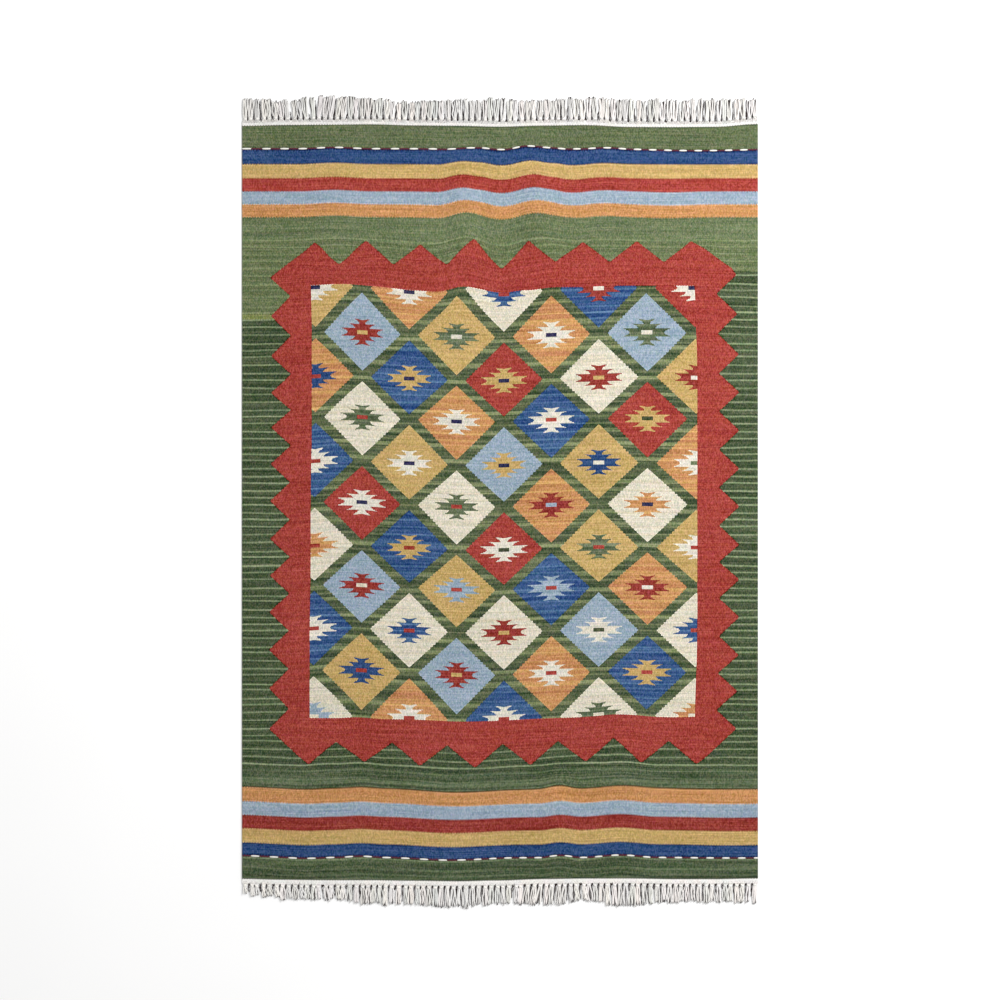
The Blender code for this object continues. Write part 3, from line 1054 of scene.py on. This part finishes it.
def cotton_material(colours, name, twist, from_map):
    """Undyed cotton: each yarn its own tone, with painted shade low down, a painted shadow at its
    cut end and painted shade at the head end.
    """
    material, tree, shader = new_material(name)
    place, (x, y, z) = object_place(tree)
    fibre = fibres("cotton", place)
    patch, _ = cloud(place, PATCHES_PER_METRE, detail=2.0)
    if from_map:
        u, v = map_place(tree)
        tile_u, tile_v = u * YARN_TILES[0], v * YARN_TILES[1]
        tone, _ = speckle(tile_u.floor(), tile_v.floor(), TONE_SEED)
        lock = ((tile_v.floor() * YARN_TILES[0] + tile_u.floor()) / YARNS_PER_SOIL).floor()
        soil, hue = speckle(lock, SOIL_SEED, SOIL_SEED)
        run = tile_v % 1.0
        # Painted shade low between the yarns, and a painted shadow at each yarn's cut end.
        depth = z.soft_step(*FRINGE_PAINTED_SHADE_HEIGHTS) * (1.0 - run.soft_step(*CUT_END) * CUT_END_PAINTED_SHADOW)
        ply = abs(((tile_u % 1.0 + run * twist) * math.pi).sine())
    else:
        warp = (x * (WARPS / WIDTH)).floor()
        tone, _ = speckle(warp, (abs(y) / WEB_SHOT + warp % 2 * 0.5).floor(), TONE_SEED)
        # Painted shade on the underside of the web strip.
        depth = z.soft_step(*WEB_PAINTED_SHADE_HEIGHTS)
        soil, hue = speckle((x * WEB_SOILS_PER_METRE).floor(), SOIL_SEED, SOIL_SEED)
        soil = soil * WEB_SOIL[1] + WEB_SOIL[0]
        ply = abs(((y / WEB_SHOT + warp % 2 * 0.5) * math.pi).sine())
    level = tone * COTTON_TONES["yarn"] + patch * COTTON_TONES["patch"]
    level = level + soil * COTTON_TONES["soil"] + fibre * COTTON_TONES["fibre"]
    # Painted shade darkens the cotton at the head end.
    level = level - (y > 0) * HEAD_PAINTED_SHADE + COTTON_LEVEL
    unshaded_cotton = shifted_colour(tuple(colours.cotton), hue, COTTON_TINTS, 0.0)
    colour = blend_colours(depth, tuple(colours.cotton_painted_shade), unshaded_cotton)
    colour = blend_colours(level.least(1.0), (0.0, 0.0, 0.0), colour)
    spin_surface("cotton", tree, shader, colour, ply, fibre)
    return material


def float_material(name, light, dark):
    """The yarn of the twined line: loosely spun, with painted shade in the hollows between its
    plies.
    """
    material, tree, shader = new_material(name)
    place, (x, y, _) = object_place(tree)
    fibre = fibres("float", place)
    ply = abs((x * (math.pi / PLY_ACROSS) + y * (math.pi / PLY_ALONG)).sine())
    share = (ply * PLY_LIGHT + fibre * FIBRE_LIGHT).least(1.0)
    colour = blend_colours(share, dark, light)
    spin_surface("float", tree, shader, colour, ply, fibre)
    return material


# --- Meshes of cloth and yarn ---


def deselect_all():
    """Leave nothing selected, in object mode."""
    if bpy.context.object and bpy.context.object.mode != "OBJECT":
        bpy.ops.object.mode_set(mode="OBJECT")
    bpy.ops.object.select_all(action="DESELECT")


def link_object(name, data):
    """A new object in the scene."""
    thing = bpy.data.objects.new(name, data)
    bpy.context.scene.collection.objects.link(thing)
    return thing


def together(*parts):
    """Coordinates put together as points, spread over one grid."""
    return np.stack(np.broadcast_arrays(*parts), axis=-1)


def link_piece(name, points, faces, corner_map, material):
    """A smooth piece from its points, its faces and the place of each face corner on its map."""
    mesh = bpy.data.meshes.new(name)
    mesh.from_pydata(points, [], faces)
    layer = mesh.uv_layers.new(name="OFBake")
    layer.data.foreach_set("uv", np.asarray(corner_map, dtype=np.float32).ravel())
    mesh.polygons.foreach_set("use_smooth", [True] * len(mesh.polygons))
    mesh.materials.append(material)
    mesh.update()
    return link_object(name, mesh)


def sheet_piece(name, top, bottom, place, material, crisp=False):
    """A closed sheet from two grids of points, rows by columns, with one map for both sides.

    Rows run towards +Y and columns towards +X. Each wall's map is the strip next to it, so
    no face of the map is without width.
    """
    rows, columns = top.shape[:2]
    points = np.concatenate([top.reshape(-1, 3), bottom.reshape(-1, 3)])
    upper = np.arange(rows * columns).reshape(rows, columns)
    lower = upper + rows * columns
    flat = np.tile(place.reshape(-1, 2), (2, 1))

    def quads(*corners):
        return together(*corners).reshape(-1, 4)

    over = quads(upper[:-1, :-1], upper[:-1, 1:], upper[1:, 1:], upper[1:, :-1])
    under = quads(lower[:-1, :-1], lower[1:, :-1], lower[1:, 1:], lower[:-1, 1:])
    faces, map_points = [over, under], [over, under]
    # Left, right, head and foot: the rim, what lies below it and what lies beside it.
    for rim, below, beside, turn in ((upper[:, 0], lower[:, 0], upper[:, 1], 1),
                                     (upper[:, -1], lower[:, -1], upper[:, -2], -1),
                                     (upper[-1], lower[-1], upper[-2], 1),
                                     (upper[0], lower[0], upper[1], -1)):
        for corners, other in ((faces, below), (map_points, beside)):
            first, *rest = rim[:-1], rim[1:], other[1:], other[:-1]
            corners.append(quads(first, *rest[::turn]))
    faces, map_points = np.concatenate(faces), np.concatenate(map_points)
    piece = link_piece(name, points.tolist(), faces.tolist(), flat[map_points.ravel()], material)
    if crisp:
        smooth = np.arange(len(faces)) < len(over) + len(under)
        piece.data.polygons.foreach_set("use_smooth", smooth)
    return piece


def warp_columns():
    """The columns of faces across the rug, numbered, and the x of each."""
    column = np.arange(WARPS * FACES_PER_WARP + 1)
    return column, -WIDTH / 2 + WIDTH * column / (WARPS * FACES_PER_WARP)


def row_shares():
    """Shares of the cloth's length at which its rows of faces meet, close at the two ends."""
    shares = [0.0, END_ROW_SHARE]
    for zone_end, rows in ROW_ZONES:
        zone_start = shares[-1]
        last = min(zone_end, 1.0 - END_ROW_SHARE)
        shares += [zone_start + (last - zone_start) * (k + 1) / rows for k in range(rows)]
    return np.array(shares + [1.0])


def yarn_tubes(name, paths, radii, flatness, up, material):
    """Closed tubes along many paths, each with its own tile of the map.

    paths is tubes by rings by 3, radii is tubes by rings, flatness is each tube's height as a
    share of its width, and up is a direction that no path runs in.
    """
    tubes, rings = paths.shape[:2]
    sides = TUBE_SIDES
    ahead = np.gradient(paths, axis=1)
    ahead /= np.linalg.norm(ahead, axis=2, keepdims=True)
    aside = np.cross(ahead, np.asarray(up, dtype=float))
    aside /= np.linalg.norm(aside, axis=2, keepdims=True)
    above = np.cross(aside, ahead)
    angles = 2 * np.pi * np.arange(sides) / sides
    heights = np.sin(angles)[None, :] * np.asarray(flatness)[:, None]
    ring = aside[:, :, None, :] * np.cos(angles)[:, None]
    ring = ring + above[:, :, None, :] * heights[:, None, :, None]
    points = paths[:, :, None, :] + ring * radii[:, :, None, None]
    index = np.arange(tubes * rings * sides).reshape(tubes, rings, sides)
    following = np.roll(index, -1, axis=2)
    walls = together(index[:, :-1], index[:, 1:], following[:, 1:], following[:, :-1])

    columns, rows = YARN_TILES
    tile_u, tile_v = np.arange(tubes) % columns, np.arange(tubes) // columns
    u = TILE_MARGIN + (1 - 2 * TILE_MARGIN) * np.arange(sides + 1) / sides
    v = TILE_MARGIN + (1 - 2 * TILE_MARGIN) * np.arange(rings) / (rings - 1)
    grid = together((tile_u[:, None, None] + u) / columns,
                    (tile_v[:, None, None] + v[:, None]) / rows)
    wall_map = [grid[:, :-1, :-1], grid[:, 1:, :-1], grid[:, 1:, 1:], grid[:, :-1, 1:]]
    corner_map = [np.stack(wall_map, axis=3).reshape(-1, 2)]

    caps = np.concatenate([index[:, 0, :], index[:, -1, ::-1]])
    circle = together(np.cos(angles), np.sin(angles)) * CAP_RADIUS
    for middle, turn in ((TILE_MARGIN / 2, 1), (1 - TILE_MARGIN / 2, -1)):
        centre = together((tile_u + 0.5) / columns, (tile_v + middle) / rows)
        cap_map = centre[:, None, :] + circle[None, ::turn, :] / np.array([columns, rows])
        corner_map.append(cap_map.reshape(-1, 2))
    faces = walls.reshape(-1, 4).tolist() + caps.tolist()
    points = points.reshape(-1, 3).tolist()
    return link_piece(name, points, faces, np.concatenate(corner_map), material)


def dress(piece, nodes):
    """Let a finished piece ride on the rug and stand for its solids."""
    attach(piece, "root")
    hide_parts(*nodes)


# --- Operators ---


class KILIM_OT_weave_cloth(bpy.types.Operator):
    """Weave the ribbed wool cloth with its ripples and its pattern"""

    bl_idname = "kilim.weave_cloth"
    bl_label = "Weave cloth"

    def execute(self, context):
        sizes = context.scene.kilim_sizes
        column, x = warp_columns()
        foot, head = -end_line(x, "foot"), end_line(x, "head")
        y = foot + (head - foot) * row_shares()[:, None]
        base = ripple_height(x, y)
        between = column % FACES_PER_WARP == 0
        dip = np.tile(np.where(between, sizes.rib_height, 0.0), (len(y), 1))
        dip[[0, -1]] = dip[:, [0, -1]] = CLOTH_THICKNESS * EDGE_DIP
        top, bottom = together(x, y, base + CLOTH_THICKNESS - dip), together(x, y, base + dip)
        across, along = pattern_place(x, y)
        place = together(across / PATTERN_WIDTH + 0.5, along / PATTERN_LENGTH + 0.5)
        if place.min() < 0 or place.max() > 1:
            raise RuntimeError("the cloth's map reaches past its square")
        wool = wool_material(context.scene.kilim_colours, sizes)
        cloth = sheet_piece("kilim_weave", top, bottom, place, wool)
        from_end = np.minimum(y - foot, head - y)
        layer = cloth.data.attributes.new("from_end", "FLOAT", "POINT")
        layer.data.foreach_set("value", np.tile(from_end.ravel(), 2).astype(np.float32))
        dress(cloth, ["kilim_cloth"])
        return {"FINISHED"}


class KILIM_OT_weave_webs(bpy.types.Operator):
    """Weave the bare cotton strip at each end, over and under the warps"""

    bl_idname = "kilim.weave_webs"
    bl_label = "Weave web strips"

    def execute(self, context):
        colours = context.scene.kilim_colours
        material = cotton_material(colours, "cotton_web", 0.0, False)
        column, x = warp_columns()
        row = np.arange(WEB_SHOTS * 2 + 1)
        share = row[:, None] / row[-1]
        over = np.where(column // FACES_PER_WARP % 2 == 0, 1, -1)
        relief = WEB_RELIEF * over * np.array([0, 1, 0, -1])[row % 4][:, None]
        valley = np.where(column % FACES_PER_WARP == 0, WEB_VALLEY, 0.0)
        thickness = np.full(relief.shape, WEB_THICKNESS)
        thickness[0], thickness[-1] = WEB_EDGES
        top_z = WEB_THICKNESS / 2 + thickness / 2 - valley - WEB_RELIEF + relief
        bottom_z = WEB_THICKNESS / 2 - thickness / 2 + valley + WEB_RELIEF + relief
        place = together(x / PATTERN_WIDTH + 0.5, share)
        for end, direction in OUTWARDS.items():
            reach = end_line(x, end) + PIECE_GAP - WEB_TUCK + (WEB_WIDTH + WEB_TUCK) * share
            # The rows run towards +Y at either end.
            y = direction * reach
            top, bottom = (together(x, y, z)[::direction] for z in (top_z, bottom_z))
            web = sheet_piece("web_strip_" + end, top, bottom, place[::direction], material,
                              crisp=True)
            dress(web, ["fringe_" + end])
        return {"FINISHED"}


class KILIM_OT_knot_fringe(bpy.types.Operator):
    """Draw the warps of each lock together, knot them and let their yarns fan out"""

    bl_idname = "kilim.knot_fringe"
    bl_label = "Knot fringe"

    def execute(self, context):
        sizes = context.scene.kilim_sizes
        colours = context.scene.kilim_colours
        yarn = cotton_material(colours, "cotton_yarn_fringe", FRINGE_TWIST, True)
        for end in OUTWARDS:
            locks = plan_locks(end)
            yarns = self.lay_yarns(end, locks, sizes, yarn)
            knots = self.tie_knots(end, locks, yarn)
            for piece in (yarns, knots):
                dress(piece, ["fringe_" + end])
        return {"FINISHED"}

    def lay_yarns(self, end, locks, sizes, material):
        """The yarns of an end: low ones in each lock in painted shade, unshaded ones above, and one
        of painted shade in each gap.
        """
        chance = random.Random(YARN_SEEDS_FROM + FRINGE_SEEDS[end])
        yarns = []
        for lock, following in zip(locks, [lock[0] for lock in locks[1:]] + [LAST_GAP_TO]):
            splay = chance.uniform(*SPLAY)
            drift = chance.uniform(-DRIFT, DRIFT)
            for number in range(sizes.yarns_per_lock):
                yarns.append(self.lock_yarn(chance, number, sizes, end, lock, splay, drift))
            yarns.append(self.gap_yarn(chance, end, lock, following))
        paths, radii, flatness = (np.array(part) for part in zip(*yarns))
        return yarn_tubes("fringe_yarns_" + end, paths, radii, flatness, (0, 0, 1), material)

    def lock_yarn(self, chance, number, sizes, end, lock, splay, drift):
        """The path, the widths and the flatness of one yarn of a lock."""
        x, root, tip, lean = lock
        thick = sizes.yarn_thickness
        upper = (sizes.yarns_per_lock + 1) // 2
        above = number < upper
        lower = sizes.yarns_per_lock - upper
        place = number - (upper - 1) / 2 if above else number - upper - (lower - 1) / 2
        tip = min(tip + chance.uniform(*TIP_SCATTER), HALF_LENGTH)
        swing = chance.uniform(-DRIFT, DRIFT)
        sway, waves, start = (chance.uniform(*limits) for limits in SWAY)
        size = thick / 2 * (chance.uniform(*HIGH_YARN_SIZES) if above else LOW_YARN_SIZE)
        root_z, knot_z, lift = HIGH_YARN_HEIGHTS if above else LOW_YARN_HEIGHTS
        open_z = size + lift
        path = []
        for distance, share, drawn, opened, _ in YARN_STATIONS:
            reach = root + distance + share * (tip - root - BELOW_KNOT)
            wave = sway * (math.sin(waves * share + start) - math.sin(start))
            px = x + (place * ROOT_PITCH + SLANT[end]) * (1 - drawn)
            px = px + place * KNOT_PITCH * drawn * (1 - opened)
            px += ((place * thick * OPEN_PITCH * splay + swing) * opened + (lean + drift) * share
                   + wave)
            pz = (root_z * (1 - drawn) + knot_z * drawn) * (1 - opened) + open_z * opened
            pz = max(pz - max(0.0, -distance - TUCKED_FROM) * TUCK_SLOPE, LOWEST_YARN)
            path.append((px, OUTWARDS[end] * reach, pz))
        return path, [size * station[-1] for station in YARN_STATIONS], 1.0

    def gap_yarn(self, chance, end, lock, following):
        """The yarn of painted shade that lies low between a lock and the next, wide beside the
        knots.
        """
        before, root, tip, lean = lock
        room = (following - before) * KNOTS_PER_END / WIDTH
        slant = SLANT[end] * GAP_SLANT
        x = min((before + following) / 2, WIDTH / 2 - GAP_FROM_EDGE - slant)
        short = chance.random() < SHORT_GAPS
        length = (tip - root) * chance.uniform(*GAP_LENGTHS["short" if short else "long"])
        wide = chance.uniform(*GAP_WIDTHS) * GAP_WIDTH[end]
        drift = chance.uniform(-DRIFT, DRIFT)
        wave = chance.uniform(*WAVE_STARTS)
        low = chance.uniform(*GAP_LOW)
        raised = GAP_RAISED + chance.uniform(0.0, GAP_RAISE[end])
        path, widths = [], []
        for station, (distance, share, _, opened, _) in enumerate(YARN_STATIONS):
            reach = distance * GAP_STATION_SHARE + share * (length - GAP_BELOW_KNOT)
            reach = min(reach, length)
            px = x + slant * (1 - min(1.0, reach / GAP_SLANT_TO)) + (lean + drift) * share
            px += GAP_SWAY * (math.sin(GAP_WAVES * share + wave) - math.sin(wave)) * opened
            path.append((px, OUTWARDS[end] * (root + reach), low if opened else raised))
            loose = wide * (1.0 + GAP_SWELL * math.sin(GAP_SWELL_WAVES * share + wave))
            loose *= 1 - GAP_TAPER * share
            knotted = station < len(GAP_KNOTTED)
            widths.append(GAP_KNOTTED[station] * room if knotted else max(GAP_THINNEST, loose))
        return path, widths, GAP_FLATNESS

    def tie_knots(self, end, locks, material):
        """The turn of yarn that ties each lock."""
        chance = random.Random(KNOT_SEEDS_FROM + FRINGE_SEEDS[end])
        paths = []
        for x, root, _, _ in locks:
            slant = chance.uniform(*KNOT_SLANTS)
            start = chance.uniform(0.0, 2 * math.pi)
            wide = chance.uniform(*KNOT_WIDTHS)
            path = []
            for ring in range(KNOT_RINGS):
                share = ring / (KNOT_RINGS - 1)
                angle = start + 2 * math.pi * KNOT_TURNS * share
                reach = root + KNOT_REACH + KNOT_LENGTH * (share - 0.5) + slant * math.cos(angle)
                path.append((x + wide * math.cos(angle), OUTWARDS[end] * reach,
                             KNOT_Z + KNOT_HALF_HEIGHT * math.sin(angle)))
            paths.append(path)
        radii = np.full((KNOTS_PER_END, KNOT_RINGS), KNOT_YARN_RADIUS)
        radii[:, [0, -1]] = KNOT_END_RADIUS
        flatness = [1.0] * KNOTS_PER_END
        name = "fringe_knots_" + end
        return yarn_tubes(name, np.array(paths), radii, flatness, (0, 1, 0), material)


class KILIM_OT_twine_lines(bpy.types.Operator):
    """Twine the dashed line of white and maroon floats near each end"""

    bl_idname = "kilim.twine_lines"
    bl_label = "Twine lines"

    def execute(self, context):
        width = context.scene.kilim_sizes.float_width
        colour = context.scene.kilim_colours.maroon
        # Each float's second colour is its painted shade in the hollows between its plies.
        white = float_material("twined_white", *map(linear_colour, FLOAT_WHITE_AND_SHADE))
        dark = tuple(value * MAROON_HOLLOW_SHADE for value in colour)
        maroon = float_material("twined_maroon", tuple(colour), dark)
        for end in OUTWARDS:
            floats = self.float_places(end)
            gaps = self.gap_places(floats)
            self.twine("twined_white_" + end, end, floats, width, WHITE_HEIGHT, white,
                       "cotton_fringe")
            self.twine("twined_maroon_" + end, end, gaps, width * MAROON_WIDTH, MAROON_HEIGHT,
                       maroon, "wool_weave")
        return {"FINISHED"}

    def float_places(self, end):
        """Start and finish of each white float across the rug."""
        places = [(-WIDTH / 2, CUT_FLOAT_TO)] if end == "head" else []
        for run_end, first, last, count, length in TWINING_RUNS:
            if run_end == end:
                starts = [first + (last - first) * k / (count - 1) for k in range(count)]
                places += [(start, min(start + length, WIDTH / 2)) for start in starts]
        return places

    def gap_places(self, floats):
        """The dark floats fill what lies between the white ones."""
        starts = [-WIDTH / 2] + [finish for _, finish in floats]
        finishes = [start for start, _ in floats] + [WIDTH / 2]
        return [(start, finish) for start, finish in zip(starts, finishes)
                if finish - start > SHORTEST_FLOAT]

    def select_rings(self, grain, nearest, farthest):
        """In edit mode, select the rings of a float by how far they are from its middle."""
        bpy.ops.mesh.select_all(action="DESELECT")
        bpy.ops.object.mode_set(mode="OBJECT")
        for vertex in grain.data.vertices:
            vertex.select = nearest < abs(vertex.co.x) <= farthest
        bpy.ops.object.mode_set(mode="EDIT")

    def model_float(self, name):
        """One float of unit size: a plump grain with blunt ends that dip into the cloth."""
        deselect_all()
        bpy.ops.mesh.primitive_uv_sphere_add(
            segments=12, ring_count=9, radius=0.5, location=(0, 0, 0), rotation=(0, math.pi / 2, 0))
        grain = bpy.context.object
        grain.name = name
        bpy.ops.object.transform_apply(location=True, rotation=True, scale=True)
        bpy.ops.object.mode_set(mode="EDIT")
        for nearest, farthest, plump in PLUMPED_RINGS:
            self.select_rings(grain, nearest, farthest)
            bpy.ops.transform.resize(value=(1.0, plump, plump))
        self.select_rings(grain, DIPPED_FROM, math.inf)
        bpy.ops.transform.translate(value=(0.0, 0.0, -DIP))
        bpy.ops.object.mode_set(mode="OBJECT")
        bpy.ops.object.shade_smooth()
        return grain

    def twine(self, name, end, places, width, height, material, slot):
        """Copy the float to every place, follow the bowed weft with it, and join the copies."""
        grain = self.model_float(name)
        copies = []
        for start, finish in places:
            x = (start + finish) / 2
            y = self.line_y(x, end)
            rise = self.line_y(finish, end) - self.line_y(start, end)
            turn = Matrix.Rotation(math.atan2(rise, finish - start), 4, "Z")
            z = ripple_height(x, y) + CLOTH_THICKNESS + FLOAT_LIFT
            copies.append(link_object(name, grain.data.copy()))
            scale = Matrix.Diagonal((finish - start + FLOAT_OVERLAP, width, height, 1.0))
            copies[-1].data.transform(Matrix.Translation((x, y, z)) @ turn @ scale)
        bpy.data.objects.remove(grain, do_unlink=True)
        deselect_all()
        for copy in copies:
            copy.select_set(True)
        bpy.context.view_layer.objects.active = copies[0]
        bpy.ops.object.join()
        joined = bpy.context.object
        joined.name = name
        joined.data.materials.append(material)
        dress(joined, ["kilim_cloth"])

    def line_y(self, x, end):
        """Where the twined line runs, bowed as the wefts beside it."""
        y = TWINING_Y[end]
        for _ in range(4):
            y = TWINING_Y[end] + bowed(x, y, WEFT_BOWS)
        return y


class KILIM_OT_declare_cloth(bpy.types.Operator):
    bl_idname = "kilim.declare_cloth"
    bl_label = "Declare cloth"

    def execute(self, context):
        return {"FINISHED"}


class KILIM_OT_set_studio(bpy.types.Operator):
    """Lay the pale floor, light it softly and hang the camera straight above the rug"""

    bl_idname = "kilim.set_studio"
    bl_label = "Set studio"

    def execute(self, context):
        scene, studio = context.scene, context.scene.kilim_studio
        deselect_all()
        bpy.ops.mesh.primitive_plane_add(size=40.0, location=(0, 0, FLOOR_Z))
        floor = bpy.context.object
        floor.name = "studio_floor"
        material, tree, shader = new_material("studio_floor")
        shade, _ = cloud(object_place(tree)[0], FLOOR_PATCHES_PER_METRE, detail=2.0)
        shade = shade * FLOOR_SHADES[1] + FLOOR_SHADES[0]
        feed(tree, shader.inputs["Base Color"], blend_colours(shade, (0, 0, 0), FLOOR_COLOUR))
        shader.inputs["Roughness"].default_value = 0.9
        floor.data.materials.append(material)

        world = bpy.data.worlds.new("studio_light")
        world.use_nodes = True
        background = world.node_tree.nodes["Background"]
        background.inputs["Color"].default_value = (1.0, 1.0, 1.0, 1.0)
        background.inputs["Strength"].default_value = studio.fill_light
        scene.world = world

        lamp_data = bpy.data.lights.new("head_softbox", "AREA")
        lamp_data.size = SOFTBOX_SIZE
        lamp_data.energy = studio.key_light
        aim_at_rug(link_object("head_softbox", lamp_data), SOFTBOX_PLACE)

        camera_data = bpy.data.cameras.new("camera")
        camera_data.lens = studio.lens
        camera_data.sensor_width = 36.0
        camera_data.clip_end = 200.0
        scene.camera = link_object("camera", camera_data)
        height = studio.view_width * studio.lens / camera_data.sensor_width
        scene.camera.location = (0.0, CAMERA_Y, height + CLOTH_THICKNESS)

        scene.view_settings.view_transform = "Standard"
        scene.view_settings.look = "None"
        return {"FINISHED"}


def aim_at_rug(thing, place):
    """Put a thing somewhere and point it at the middle of the rug."""
    thing.location = place
    tilt = math.atan2(math.hypot(place[0], place[1]), place[2])
    thing.rotation_euler = (tilt, 0.0, math.atan2(place[0], -place[1]))


class KILIM_PT_rug(bpy.types.Panel):
    """The rug's sizes, colours and steps"""

    bl_label = "Kilim Rug"
    bl_idname = "KILIM_PT_rug"
    bl_space_type = "VIEW_3D"
    bl_region_type = "UI"
    bl_category = "Kilim"

    def draw(self, context):
        for operator in OPERATORS:
            self.layout.operator(operator.bl_idname)
        for name in GROUPS:
            group = getattr(context.scene, name)
            box = self.layout.box()
            box.label(text=name.split("_")[1].capitalize())
            for setting in type(group).__annotations__:
                box.prop(group, setting)


GROUPS = {"kilim_sizes": KilimSizes, "kilim_studio": KilimStudio, "kilim_colours": KilimColours}
OPERATORS = (KILIM_OT_set_studio, KILIM_OT_weave_cloth, KILIM_OT_weave_webs, KILIM_OT_knot_fringe,
             KILIM_OT_twine_lines, KILIM_OT_declare_cloth)
CLASSES = (*GROUPS.values(), *OPERATORS, KILIM_PT_rug)


def register():
    """Register every class and hang the settings on the scene."""
    for kind in CLASSES:
        bpy.utils.register_class(kind)
    for name, group in GROUPS.items():
        setattr(bpy.types.Scene, name, PointerProperty(type=group))


def unregister():
    """Take the settings off the scene and unregister every class."""
    for name in GROUPS:
        delattr(bpy.types.Scene, name)
    for kind in reversed(CLASSES):
        bpy.utils.unregister_class(kind)


def main():
    """Make the rug and its studio."""
    register()
    bpy.ops.kilim.set_studio()
    bpy.ops.kilim.weave_cloth()
    bpy.ops.kilim.weave_webs()
    bpy.ops.kilim.knot_fringe()
    bpy.ops.kilim.twine_lines()
    bpy.ops.kilim.declare_cloth()


if __name__ == "__main__":
    main()
